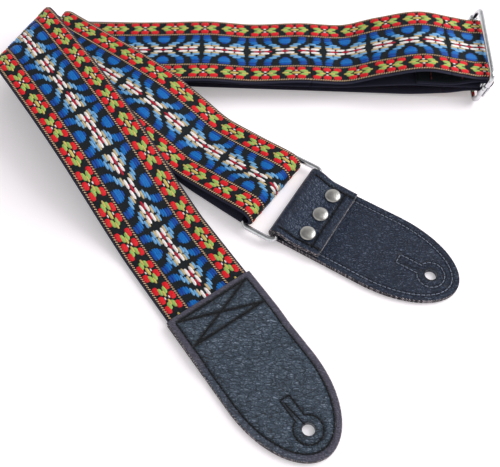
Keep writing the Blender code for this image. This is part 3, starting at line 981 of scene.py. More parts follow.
    def courses(self) -> list[Course]:
        """Divide the strap into courses.

        Returns:
            The courses from the front tab to the sewn end.
        """
        near, far = self.slack_start, self.slack_end
        front = [self.along(self.front, -self.insert, self.front.end),
                 self.round(self.outer_bend, downwards=True), self.along(self.base, self.base.end, far)]
        turn = [self.along(self.base, near, 0.0), self.round(self.turn), self.along(self.upper, 0.0, near)]
        upper = [self.along(self.upper, far, self.upper.end), self.round(self.inner_bend),
                 self.along(self.under, self.under.end, 0.0)]
        ring = [self.round(self.ring_loop), self.along(self.over, 0.0, self.over.end),
                self.round(self.middle_bend, downwards=True), self.along(self.back, self.back.end, far)]
        sewn = [self.along(self.back, near, 0.0), self.round(self.anchor),
                self.along(self.tail_run, 0.0, self.tail)]
        front_pair = self.insert + self.front_pair_at
        base_pair = front_pair - sum(leg.length for leg in front)
        turn_pair = near + self.turn.length + self.upper_pair_at
        ring_pair = self.ring_loop.length + self.over_pair_at
        return_pair = ring_pair - sum(leg.length for leg in ring)
        return [
            Course("front", "strap", ("front_run", "outer_bend", "base_run"), front, front_pair),
            Course("base_slack", "strap", ("base_slack",), [self.along(self.base, far, near)], base_pair),
            Course("slider_turn", "slider", ("slider_turn",), turn, turn_pair),
            Course("upper_slack", "strap", ("upper_slack",), [self.along(self.upper, near, far)],
                   self.upper_pair_at - near),
            Course("upper", "strap", ("upper_run", "inner_bend", "under_run"), upper,
                   self.upper_pair_at - far),
            Course("ring", "strap", ("ring_loop", "over_run", "middle_bend", "return_run"), ring,
                   ring_pair),
            Course("return_slack", "strap", ("return_slack",), [self.along(self.back, far, near)],
                   return_pair),
            Course("anchor_loop", "slider", ("anchor_loop",), sewn, return_pair - (far - near)),
        ]


@dataclass(frozen=True)
class Float:
    """One raised woven float: place, size, thread, and lean of its ends along the strap."""

    along: float
    across: float
    length: float
    width: float
    thread: Thread
    lean: float = 0.0


class Row(Enum):
    """Rows of floats from the ribbon's middle out to its border, in millimetres."""

    WHITE = 1.42
    TAN = 2.85
    SKY = 4.10
    SKY_TIP = 5.40
    BLUE_TIP = 6.70
    BLUE = 7.95
    ROYAL = 9.25
    ROYAL_EDGE = 10.75


@dataclass
class FolkPattern:
    """The ribbon's folk pattern: a chain of lozenges and crosses between two flower borders.

    Places inside a motif are in millimetres, from its middle.
    """

    repeat: float = 0.0755
    border_middle: float = 17.95
    border_lag: float = -6.5
    line_places: Pair = (12.55, 23.15)
    line_pitch: float = 0.00072
    line_width: float = 0.00140
    line_slant: float = 0.5
    arm_lean: float = 0.35
    leaf_lean: float = 0.24
    petal_row: float = 3.15
    leaf_row: float = 0.42

    def arm(self, white_at: float, way: float) -> list[Float]:
        """A stepped arm from a white float out to the border.

        Args:
            white_at: Place of the white float along the repeat.
            way: 1 if the arm steps on along the strap, -1 if back.

        Returns:
            The arm's floats on one side of the middle.
        """
        steps = [
            (0.0, Row.WHITE, 5.5, 1.75, Thread.WHITE),
            (2.3, Row.TAN, 4.7, 1.45, Thread.TAN),
            (2.4, Row.SKY, 5.0, 1.40, Thread.SKY),
            (4.5, Row.SKY_TIP, 5.1, 1.45, Thread.SKY),
            (6.8, Row.BLUE_TIP, 4.6, 1.40, Thread.BLUE),
            (7.4, Row.BLUE, 5.0, 1.45, Thread.BLUE),
            (7.8, Row.ROYAL, 4.9, 1.60, Thread.ROYAL),
            (7.9, Row.ROYAL_EDGE, 4.7, 1.60, Thread.ROYAL),
        ]
        lean = -self.arm_lean * way
        return [Float(white_at + way * ds, row.value, length, width, thread, lean)
                for ds, row, length, width, thread in steps]

    def column(self, white_at: float, tan_at: float) -> list[Float]:
        """The inner half of a lozenge, on one side of the middle.

        Args:
            white_at: Place of its white float along the repeat.
            tan_at: Place of its tan and sky blue floats.

        Returns:
            Its floats.
        """
        return [
            Float(white_at, Row.WHITE.value, 5.5, 1.75, Thread.WHITE),
            Float(tan_at, Row.TAN.value, 4.4, 1.45, Thread.TAN),
            Float(tan_at, Row.SKY.value, 4.6, 1.40, Thread.SKY),
        ]

    def oval(self, at: float) -> list[Float]:
        """A blue oval against the border, on one side of the middle, lighter blue across its middle rows as
        a painted satin sheen.

        Args:
            at: Its place along the repeat.

        Returns:
            Its floats.
        """
        # Painted sheen: the middle rows take the lighter blue thread, the two ends royal blue.
        return [
            Float(at, Row.SKY_TIP.value + 0.45, 3.4, 1.3, Thread.ROYAL),
            Float(at, Row.BLUE_TIP.value + 0.3, 6.2, 1.4, Thread.BLUE),
            Float(at, Row.BLUE.value + 0.1, 7.6, 1.45, Thread.BLUE),
            Float(at, Row.ROYAL.value, 8.0, 1.6, Thread.BLUE),
            Float(at, Row.ROYAL_EDGE.value, 7.6, 1.6, Thread.ROYAL),
        ]

    def centre(self) -> list[Float]:
        """The middle of one repeat, from its cross at 0 to the joined pair of lozenges.

        Returns:
            Its floats.
        """
        pair = self.repeat / MM / 2
        half = self.arm(3.1, 1.0) + self.arm(12.4, 1.0) + self.arm(34.6, -1.0)
        half += self.column(18.7, 20.4) + self.column(28.4, 27.3)
        floats = [Float(way * f.along, side * f.across, f.length, f.width, f.thread, way * side * f.lean)
                  for f in half for way in (1, -1) for side in (1, -1)]
        floats += [Float(f.along, side * f.across, f.length, f.width, f.thread)
                   for at in (0.0, pair) for f in self.oval(at) for side in (1, -1)]
        reds = [0.0, pair] + [way * at for at in (10.6, 17.0, 30.5) for way in (1, -1)]
        floats += [Float(at, 0.0, 5.2, 1.35, Thread.CRIMSON) for at in reds]
        return floats

    def border(self) -> list[Float]:
        """One flower of each kind, the first with two pairs of petals and the next with three.

        Returns:
            The floats of both borders.
        """
        flower = self.repeat / MM / 4
        petals = [-3.2, 3.2] + [at + flower for at in (-6.35, 0.0, 6.35)]
        leaves = [(at, base) for at in (-4.75, 4.75) for base in (0.0, flower)]
        hearts = [(0.0, 5.2, 1.75), (-6.5, 4.2, 1.35), (6.5, 4.2, 1.35)]
        hearts += [(flower - 2.9, 4.0, 1.35), (flower + 2.9, 4.0, 1.35)]
        floats: list[Float] = []
        for side in (1, -1):
            middle = side * self.border_middle
            for dt in (self.petal_row, -self.petal_row):
                floats += [Float(at, middle + dt, 5.0, 3.15, Thread.RED) for at in petals]
                for at, base in leaves:
                    lean = self.leaf_lean * math.copysign(1, dt * at) * (1 if base else -1)
                    across = middle + self.leaf_row * dt
                    floats.append(Float(at + base, across, 4.7, 2.15, Thread.GREEN, lean))
                floats += [Float(base, middle + share * dt, 1.7, 0.85, Thread.WHITE)
                           for base, share in ((0.0, 0.52), (flower, 0.36))]
            floats += [Float(at, middle, length, width, Thread.OLIVE) for at, length, width in hearts]
        return floats

    def laid(self, course: Course) -> list[Float]:
        """Repeat the pattern along a course.

        Args:
            course: The course.

        Returns:
            Every float that lies on it, in metres along and across it.
        """
        plans = [(self.centre(), self.repeat, course.pair_at - self.repeat / 2)]
        plans += [(self.border(), self.repeat / 2, course.pair_at + self.border_lag * MM)]
        found: list[Float] = []
        for floats, pitch, start in plans:
            first = math.floor((0.0 - start) / pitch) - 1
            last = math.ceil((course.length - start) / pitch) + 1
            for k in range(first, last + 1):
                for f in floats:
                    along = start + k * pitch + f.along * MM
                    length = f.length * MM
                    if -length / 2 < along < course.length + length / 2:
                        found.append(Float(along, f.across * MM, length, f.width * MM, f.thread, f.lean))
        return found

    def lines(self, course: Course) -> list[Float]:
        """Lay the twisted lines beside the borders.

        Args:
            course: The course that they follow.

        Returns:
            Their slanted stitches, in metres along and across the course.
        """
        count = int(course.length / self.line_pitch)
        kinds = ((Thread.BEIGE, self.line_slant), (Thread.RUST, -self.line_slant))
        found: list[Float] = []
        for across in (side * place * MM for place in self.line_places for side in (1, -1)):
            for k in range(count):
                along = (k + 0.5) * course.length / count
                found.append(Float(along, across, self.line_pitch, self.line_width, *kinds[k % 2]))
        return found


@dataclass
class Strap:
    """The webbing, the ribbon sewn on it, and the ribbon's raised floats."""

    palette: Palette
    lay: Lay = field(default_factory=Lay)
    pattern: FolkPattern = field(default_factory=FolkPattern)
    webbing_width: float = 0.050
    ribbon_width: float = 0.0476
    ribbon_face: float = 0.00080
    float_height: float = 0.00042
    float_taper: Triple = (0.30, 5.0, 0.55)
    float_crown: Pair = (4.0, 0.6)
    least_share: float = 0.08
    line_height: float = 0.00030
    sunk: float = 0.00004
    coarse_step: float = 0.0024
    fine_step: float = 0.0007
    columns: int = 10
    edge_share: float = 0.45
    seam_rows: Pair = (0.012, 0.031)
    seam_stitch: Pair = (0.0008, 0.0026)
    seam_pitch: float = 0.0030

    def skin(self, course: Course, name: str, width: float, low: float, high: float,
             finish: Surface) -> Piece:
        """A closed strip along a course.

        Args:
            course: The course it follows.
            name: Name of the piece.
            width: Width of the strip.
            low: Offset of its inner face.
            high: Offset of its outer face.
            finish: Its finish.

        Returns:
            The new piece.
        """
        edge = self.edge_share * (high - low)
        flat = np.linspace(-width / 2 + edge, width / 2 - edge, self.columns)
        middle = (low + high) / 2
        ring = [(t, high) for t in flat] + [(width / 2, middle)]
        ring += [(t, low) for t in flat[::-1]] + [(-width / 2, middle)]
        across, offset = np.array(ring).T
        rows = course.stations(width / 2, self.coarse_step, self.fine_step)
        s, t = np.meshgrid(rows, across, indexing="ij")
        points = course.place(s, t, np.broadcast_to(offset, s.shape))
        places = np.stack([s, np.broadcast_to(travelled(across, offset), s.shape)], axis=-1) / MM
        sketch = Sketch(self.palette)
        sketch.tube(points, places, finish, finish)
        return outward(sketch.build(name))

    def lay_float(self, sketch: Sketch, course: Course, f: Float, height: float,
                  xs: Array, ys: Array) -> None:
        """Add one float as a low dome that follows the strap, cut off at the course's ends.

        Args:
            sketch: Where it is added.
            course: The course that it lies on.
            f: The float.
            height: Its height over the ribbon.
            xs: Rows of its points along it, from -1 to 1.
            ys: Columns of its points across it, from -1 to 1.
        """
        low = max(-1.0, (0.0 - f.along) / (f.length / 2))
        high = min(1.0, (course.length - f.along) / (f.length / 2))
        if high - low < self.least_share:
            return
        x, y = np.meshgrid(np.clip(xs, low, high), ys, indexing="ij")
        least, steep, root = self.float_taper
        taper = np.maximum(least, 1.0 - np.abs(x) ** steep) ** root
        t = f.across + f.width / 2 * y * taper
        s = np.clip(f.along + f.length / 2 * x + f.lean * f.width / 2 * y, 0.0, course.length)
        steep, root = self.float_crown
        crown = np.sqrt(np.maximum(0.0, 1.0 - y**2)) * np.maximum(0.0, 1.0 - np.abs(x) ** steep) ** root
        offset = self.ribbon_face - self.sunk + (height + self.sunk) * crown
        sketch.grid(course.place(s, t, offset), np.stack([s, t], axis=-1) / MM, f.thread)

    def floats(self, course: Course) -> Piece:
        """Make the raised floats and twisted lines of one course.

        Args:
            course: The course.

        Returns:
            The new piece.
        """
        sketch = Sketch(self.palette)
        sewn = course.name == "anchor_loop"
        covered = course.length - (self.lay.tail if sewn else 0.0)
        fine = (np.array([-1.0, -0.86, -0.5, 0.0, 0.5, 0.86, 1.0]), np.array([-1.0, -0.62, 0.0, 0.62, 1.0]))
        few = (np.array([-1.0, -0.4, 0.4, 1.0]), np.array([-1.0, 0.0, 1.0]))
        for floats, height, grid in ((self.pattern.laid(course), self.float_height, fine),
                                     (self.pattern.lines(course), self.line_height, few)):
            for f in floats:
                if f.along < covered:
                    self.lay_float(sketch, course, f, height, *grid)
        if sewn:
            self.sew_end(sketch, course)
        return sketch.build("ribbon_floats_" + course.name)

    def sew_end(self, sketch: Sketch, course: Course) -> None:
        """Add two rows of stitches across the sewn end.

        Args:
            sketch: Where they are added.
            course: The course that ends there.
        """
        count = int(self.ribbon_width / self.seam_pitch)
        tail_start = course.length - self.lay.tail
        grid = np.linspace(-1, 1, 5)
        for row in self.seam_rows:
            for k in range(count):
                across = (k + 0.5 - count / 2) * self.seam_pitch
                f = Float(tail_start + row, across, *self.seam_stitch, Thread.RUST)
                self.lay_float(sketch, course, f, 2 * self.float_height, grid, grid)

    def build(self) -> list[Piece]:
        """Build and place every length of strap.

        Returns:
            The new pieces.
        """
        half = self.lay.half
        webbing_top = -half + self.lay.webbing_thickness
        slide = next(j for j in frame["record"]["behaviour"]["joints"] if j["name"] == "slider_slide")
        made: list[Piece] = []
        for course in self.lay.courses():
            webbing = self.skin(course, "webbing_" + course.name + "_course", self.webbing_width,
                                -half, webbing_top, Surface.WEBBING)
            ribbon = self.skin(course, "ribbon_" + course.name + "_course", self.ribbon_width,
                               webbing_top, self.ribbon_face, Surface.GROUND)
            floats = self.floats(course)
            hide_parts(*["webbing_" + node for node in course.nodes])
            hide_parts(*["ribbon_" + node for node in course.nodes])
            still = course.length if course.name == "upper_slack" else 0.0
            end = course.place(np.array([still]), np.zeros(1), np.zeros(1))[0]
            for piece in (webbing, ribbon, floats):
                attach(piece, course.body)
                if course.name.endswith("slack"):
                    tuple(slide["axis"])
                    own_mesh(piece)
            held = "folded" if any(isinstance(leg.path, Bend) for leg in course.legs) else "laid"
            made += [webbing, ribbon, floats]
        return made


@dataclass(frozen=True)
class TabShape:
    """Outline and seams shared by both leather tabs, by distance from the strap's end."""

    length: float
    width: float
    round_end: float = 0.046
    hole_to_tip: float = 0.0155
    hole_diameter: float = 0.0064
    seam_inset: float = 0.0040
    keyhole_radius: float = 0.0074
    slot_half: float = 0.00275
    slot_reach: float = 0.0192
    slit_back: float = 0.002
    drill_span: Pair = (-0.01, 0.02)
    end_rows: int = 60
    seam_steps: int = 61
    keyhole_steps: int = 41

    @property
    def hole(self) -> float:
        """Distance of the button hole from the strap's end of the tab."""
        return self.length - self.hole_to_tip

    @property
    def straight(self) -> float:
        """Distance along the tab where its round end starts."""
        return self.length - self.round_end

    def half(self, u: Array, inset: float = 0.0) -> Array:
        """Half width at distances along the tab, measured an inset inside its outline."""
        share = np.clip((u - self.straight) / (self.round_end - inset), 0.0, 1.0)
        return (self.width / 2 - inset) * np.sqrt(np.maximum(0.0, 1.0 - share**2))

    def stations(self, start: float, step: float) -> Array:
        """Choose distances of rows, closer together round the end.

        Args:
            start: First distance.
            step: Step along the straight part.

        Returns:
            Distances along the tab.
        """
        body = np.arange(start, self.straight, step)
        turns = np.radians(np.linspace(0.0, 89.0, self.end_rows))
        return np.concatenate([body, self.straight + self.round_end * np.sin(turns)])

    def perimeter(self, start: float) -> Array:
        """Seam that follows the outline from one side round the end to the other.

        Args:
            start: Distance along the tab where it starts and stops.

        Returns:
            Points along and across the tab.
        """
        inner = self.width / 2 - self.seam_inset
        turns = np.radians(np.linspace(0.0, 180.0, self.seam_steps))
        arc = np.column_stack([self.straight + (self.round_end - self.seam_inset) * np.sin(turns),
                               inner * np.cos(turns)])
        return np.concatenate([[(start, inner)], arc, [(start, -inner)]])

    def keyhole(self) -> Array:
        """Seam round the button hole and along its slot.

        Returns:
            Points along and across the tab.
        """
        lean = math.asin(self.slot_half / self.keyhole_radius)
        turns = np.linspace(math.pi - lean, -math.pi + lean, self.keyhole_steps)
        arc = np.column_stack([self.hole + self.keyhole_radius * np.cos(turns),
                               self.keyhole_radius * np.sin(turns)])
        end = self.hole - self.slot_reach
        corner, other = [(end, self.slot_half)], [(end, -self.slot_half)]
        return np.concatenate([corner, arc, other, corner])

    def slit(self) -> Array:
        """Cut from the button hole back along the slot."""
        end = self.hole - self.slot_reach + self.slit_back
        return np.array([(end, -0.6 * self.slot_half), (self.hole - 0.5 * self.hole_diameter, 0.0)])


@dataclass(frozen=True)
class Seam:
    """A sewn line on a leather sheet: its path, the groove it pulls, and whether thread shows."""

    path: Array
    depth: float = 0.00065
    width: float = 0.00090
    thread: bool = True
    pitch: float = 0.0026
    pucker: float = 0.00022
    pucker_width: float = 0.0030

    def groove(self, u: Array, t: Array) -> Array:
        """Find how deep the seam pulls the sheet.

        Args:
            u: Distances along the sheet.
            t: Distances across.

        Returns:
            Depth at each place.
        """
        nearest = np.full(u.shape, np.inf)
        for a, b in zip(self.path[:-1], self.path[1:]):
            step = b - a
            share = ((u - a[0]) * step[0] + (t - a[1]) * step[1]) / max(step @ step, 1e-12)
            share = np.clip(share, 0.0, 1.0)
            nearest = np.minimum(nearest, np.hypot(u - a[0] - share * step[0], t - a[1] - share * step[1]))
        pucker = self.pucker * np.exp(-((nearest / self.pucker_width) ** 2))
        return self.depth * np.exp(-((nearest / self.width) ** 2)) + pucker

    def stitches(self) -> list[tuple[Array, Array]]:
        """Space stitches along the seam.

        Returns:
            Middle and direction of each stitch.
        """
        marks = travelled(*self.path.T)
        count = max(1, int(marks[-1] / self.pitch))
        found: list[tuple[Array, Array]] = []
        for here in (np.arange(count) + 0.5) * marks[-1] / count:
            i = min(int(np.searchsorted(marks, here)), len(marks) - 1) - 1
            way = (self.path[i + 1] - self.path[i]) / max(marks[i + 1] - marks[i], 1e-9)
            found.append((self.path[i] + (here - marks[i]) * way, way))
        return found


Rule = Callable[[Array, Array], Array]


@dataclass
class LeatherSheet:
    """A leather layer swept along a line, with seams pressed into one face."""

    name: str
    middle: Array
    upward: Array
    side: Array
    half: Array
    thickness: float
    distance: Array
    finish: Surface
    edge: Surface
    seams: list[Seam] = field(default_factory=list)
    seam_face: float = 1.0
    droop: Rule | None = None
    rim: Rule | None = None
    worn: Rule | None = None
    thread: Thread = Thread.SEAM
    hole: Pair = (0.0, 0.0)
    hole_shade: float = 0.0015
    columns: int = 62
    edge_crowding: float = 0.55
    edge_bevel: float = 0.3
    least_inner: float = 0.2
    groove_gain: float = 1.8
    groove_from: float = 0.60
    stitch_size: Triple = (0.0022, 0.00085, 0.00032)
    stitch_sink: float = 0.85

    def surface(self, i: Array, t: Array, lift: Array) -> Array:
        """Places off the middle line by row, distance across and height."""
        return self.middle[i] + t[..., None] * self.side + lift[..., None] * self.upward[i]

    def sunk(self, u: Array, t: Array) -> Array:
        """How far seams press the seamed face down at places on the sheet."""
        return np.max([np.zeros(u.shape)] + [seam.groove(u, t) for seam in self.seams], axis=0)

    def build(self, palette: Palette) -> Piece:
        """Make the sheet as one closed piece.

        Args:
            palette: Where materials come from.

        Returns:
            The new piece.
        """
        rows, m = len(self.middle), self.columns
        spread = np.sin(np.radians(np.linspace(-90.0, 90.0, m)))
        spread = self.edge_crowding * spread + (1.0 - self.edge_crowding) * np.linspace(-1.0, 1.0, m)
        i = np.repeat(np.arange(rows)[:, None], m, axis=1)
        inner = np.maximum(self.half - self.edge_bevel * self.thickness, self.least_inner * self.half)
        t = inner[:, None] * spread[None, :]
        u = np.repeat(self.distance[:, None], m, axis=1)
        drop = self.droop(u, t) if self.droop else np.zeros(u.shape)
        pressed = self.sunk(u, t)
        half = self.thickness / 2
        top = self.surface(i, t, half - drop - (pressed if self.seam_face > 0 else 0.0))
        bottom = self.surface(i, t, -half - drop + (pressed if self.seam_face < 0 else 0.0))
        out = self.half[:, None]
        left = self.surface(i[:, :1], out, -drop[:, [-1]])
        right = self.surface(i[:, :1], -out, -drop[:, [0]])
        points = np.concatenate([top, left, bottom[:, ::-1], right], axis=1)
        girth = np.concatenate([t, out, t[:, ::-1], -out], axis=1)
        on_edge = np.zeros(points.shape[1])
        on_edge[[m, 2 * m + 1]] = MM
        places = np.stack([self.distance[:, None] + on_edge, girth], -1) / MM
        edge_columns = {j: self.edge for j in (m - 1, m, 2 * m, 2 * m + 1)}
        sketch = Sketch(palette)
        sketch.tube(points, places, self.finish, self.edge, edge_columns)
        piece = outward(sketch.build(self.name))
        self.mark(piece, u, t)
        return piece

    def mark(self, piece: Piece, u: Array, t: Array) -> None:
        """Note on the seamed face's points how deep in a seam they are, as painted shade, how scuffed, with
        painted shade on one side of the front rim, and how worn they are.

        Args:
            piece: The sheet's piece.
            u: Distances of its points along the sheet.
            t: Distances across.
        """
        deepest = max([seam.depth + seam.pucker for seam in self.seams], default=1.0)
        # Painted shade: seam grooves are coloured darker where the sheet is pressed in.
        groove = smooth(self.sunk(u, t) / deepest * self.groove_gain - self.groove_from)
        at, radius = self.hole
        if radius:
            # Painted shade in a ring round the button hole's rim.
            inside = (radius + self.hole_shade - np.hypot(u - at, t)) / self.hole_shade
            groove = np.maximum(groove, smooth(inside))
        marks = {"groove": groove}
        for name, rule in (("rim", self.rim), ("worn", self.worn)):
            marks[name] = rule(u, t) if rule else np.zeros(u.shape)
        edge, blank = np.zeros((len(u), 1)), np.zeros(u.shape)
        for name, value in marks.items():
            faces = [value, blank] if self.seam_face > 0 else [blank, value[:, ::-1]]
            every = np.concatenate([faces[0], edge, faces[1], edge], axis=1)
            layer = piece.data.attributes.new(name, "FLOAT", "POINT")
            layer.data.foreach_set("value", every.astype(np.float32).ravel())

    def sew(self, palette: Palette) -> Piece:
        """Make the stitches of the seams, as one piece.

        Args:
            palette: Where materials come from.

        Returns:
            The new piece.
        """
        sketch = Sketch(palette)
        length, width, height = self.stitch_size
        x, y = np.meshgrid(np.linspace(-1, 1, 6), np.linspace(-1, 1, 5), indexing="ij")
        crown = np.sqrt(np.maximum(0.0, 1 - y**2)) * np.sqrt(np.maximum(0.0, 1 - np.abs(x) ** 3))
        for seam in (s for s in self.seams if s.thread):
            for at, way in seam.stitches():
                u = at[0] + length / 2 * x * way[0] - width / 2 * y * way[1]
                t = at[1] + length / 2 * x * way[1] + width / 2 * y * way[0]
                row = np.interp(u, self.distance, np.arange(len(self.distance)))
                low = np.clip(np.floor(row).astype(int), 0, len(self.distance) - 2)
                share = (row - low)[..., None]
                drop = self.droop(u, t) if self.droop else 0.0
                sink = self.stitch_sink * seam.depth + seam.pucker
                lift = self.thickness / 2 - drop - sink + height * crown
                lift = self.seam_face * (lift if self.seam_face > 0 else lift + 2 * drop)
                a = self.surface(low, t, lift)
                b = self.surface(low + 1, t, lift)
                sketch.grid(a + share * (b - a), np.stack([u, t], -1) / MM, self.thread)
        return sketch.build(self.name + "_stitches")


Hole = tuple[Array, float, float, float]


def drill(piece: Piece, holes: list[Hole], sides: int = 48) -> None:
    """Cut upright round holes through a piece.

    Args:
        piece: The piece to cut.
        holes: Place in plan, radius, lowest and highest point of each hole.
        sides: Faces round each hole.
    """
    for place, radius, low, high in holes:
        bpy.ops.mesh.primitive_cylinder_add(vertices=sides, radius=radius, depth=high - low)
        cutter = bpy.context.object
        cutter.location = (place[0], place[1], (low + high) / 2)
        cut = piece.modifiers.new("hole", "BOOLEAN")
        cut.operation = "DIFFERENCE"
        cut.solver = "EXACT"
        cut.object = cutter
        bpy.context.view_layer.update()
        graph = bpy.context.evaluated_depsgraph_get()
        mesh = bpy.data.meshes.new_from_object(piece.evaluated_get(graph), depsgraph=graph)
        piece.modifiers.remove(cut)
        piece.data = mesh
        bpy.data.objects.remove(cutter)


def turned(palette: Palette, name: str, outline: list[Pair], place: Array,
           finish: Surface, steps: int = 48) -> Piece:
    """A solid turned about an upright line.

    Args:
        palette: Where materials come from.
        name: Name of the piece.
        outline: Radius and height of its points, from one end to the other.
        place: Place in plan.
        finish: Its finish.
        steps: Faces round it.

    Returns:
        The new piece.
    """
    angles = np.linspace(0.0, 2 * math.pi, steps, endpoint=False)
    ring = np.column_stack([np.cos(angles), np.sin(angles)])
    points = np.array([[(*(place + r * c), z) for c in ring] for r, z in outline])
    places = np.array([[(a * r / MM, z / MM) for a in angles] for r, z in outline])
    sketch = Sketch(palette)
    sketch.tube(points, places, finish, finish)
    return outward(sketch.build(name))


@dataclass
class FrontTab:
    """The front tab: two leather layers sewn over the strap's end."""

    palette: Palette
    lay: Lay
    shape: TabShape = TabShape(0.101, 0.0525)
    top_thickness: float = 0.0018
    ease: float = 0.015
    box_rows: Pair = (0.0030, 0.0190)
    box_half: float = 0.0212
    edge_seam_width: float = 0.0011
    keyhole_seam: Pair = (0.0007, 0.0012)
    box_seam: Pair = (0.0008, 0.0012)
    box_pucker: float = 0.0004
    slit_seam: Pair = (0.0007, 0.0008)
    slit_pitch: float = 0.0016
    rim_drop: float = 0.0011
    rim_band: float = 0.0046
    rim_fade: float = 0.0008
    # Share of the rim's pale tone taken off on one side, as painted shade.
    rim_painted_shade: float = 0.75
    flat_drop: float = 0.42
    row_step: float = 0.0008
    top_columns: int = 78
    back_columns: int = 30

    def seams(self) -> list[Seam]:
        """Set out the seams seen on the top layer.

        Returns:
            The outer seam, the keyhole, the crossed box and the slit.
        """
        near, far = self.box_rows
        b = self.box_half
        lines = [[(near, -b), (near, b)], [(far, -b), (far, b)]]
        lines += [[(near, -b), (far, b)], [(near, b), (far, -b)]]
        sewn = [Seam(self.shape.perimeter(near), width=self.edge_seam_width)]
        sewn += [Seam(self.shape.keyhole(), *self.keyhole_seam)]
        sewn += [Seam(np.array(line), *self.box_seam, pucker=self.box_pucker) for line in lines]
        return sewn + [Seam(self.shape.slit(), *self.slit_seam, pitch=self.slit_pitch)]

    def droop(self, u: Array, t: Array) -> Array:
        """Find how far the rim outside the seam hangs.

        Args:
            u: Distances along the tab.
            t: Distances across.

        Returns:
            Drop at each place.
        """
        half = self.shape.half(u)
        band = smooth((np.abs(t) - half + self.rim_band) / self.rim_band)
        over_strap = 1.0 - smooth((u - self.lay.insert) / self.ease)
        return self.rim_drop * band * (self.flat_drop + (1.0 - self.flat_drop) * over_strap)

    def rim(self, u: Array, t: Array) -> Array:
        """Find how scuffed the skin is: most outside the outer seam on the left, none inside it, and less
        on the other side past the strap's end, which paints shade there.

        Args:
            u: Distances along the tab.
            t: Distances across.

        Returns:
            Share from 0 to 1 at each place.
        """
        inner = self.shape.half(u, self.shape.seam_inset)
        outside = np.maximum((np.abs(t) - inner) / self.rim_fade, (self.box_rows[0] - u) / self.rim_fade)
        # Painted shade: the rim's pale tone is cut back on the side away from the light.
        painted_shade_side = smooth(-t / self.box_half) * smooth((u - self.lay.insert) / self.ease)
        return smooth(outside) * (1.0 - self.rim_painted_shade * painted_shade_side)

    def layer(self, name: str, rows: Array, heights: Array, thickness: float,
              **more: object) -> LeatherSheet:
        """Set out one leather layer along the tab.

        Args:
            name: Name of the piece.
            rows: Distances of its rows along the tab.
            heights: Height of its middle at each row.
            thickness: Its thickness.
            more: Other fields of the sheet.

        Returns:
            The sheet.
        """
        way = -self.lay.front.along
        plan = self.lay.front.start + rows[:, None] * way
        middle = np.column_stack([plan, heights])
        slope = np.gradient(heights, rows)
        upward = np.column_stack([-slope[:, None] * way, np.ones(len(rows))])
        upward /= np.linalg.norm(upward, axis=1)[:, None]
        side = np.array([*left_of(way), 0.0])
        return LeatherSheet(name, middle, upward, side, self.shape.half(rows), thickness, rows,
                            Surface.FRONT_LEATHER, Surface.FIBRES, **more)

    def build(self) -> list[Piece]:
        """Build and place both layers and the seams.

        Returns:
            The new pieces.
        """
        rows = self.shape.stations(0.0, self.row_step)
        bore = self.shape.hole_diameter / 2
        low = self.lay.back_leather + self.lay.clearance + self.top_thickness / 2
        high = low + self.lay.strap_thickness + self.lay.clearance
        start = self.lay.insert + self.lay.clearance
        profile = Profile([(0.0, high), (start, high), (start + self.ease, low)])
        top = self.layer("front_tab_top_leather", rows, profile.height(rows)[0], self.top_thickness,
                         seams=self.seams(), droop=self.droop, rim=self.rim,
                         hole=(self.shape.hole, bore), columns=self.top_columns)
        back = self.layer("front_tab_back_leather", rows, np.full(len(rows), self.lay.back_leather / 2),
                          self.lay.back_leather, columns=self.back_columns)
        hole = self.lay.front.start - self.shape.hole * self.lay.front.along
        pieces = [top.build(self.palette), back.build(self.palette), top.sew(self.palette)]
        for piece, node in zip(pieces, ("front_tab_top", "front_tab_back")):
            drill(piece, [(hole, bore, *self.shape.drill_span)])
            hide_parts(node)
        for piece in pieces:
            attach(piece, "strap")
        return pieces


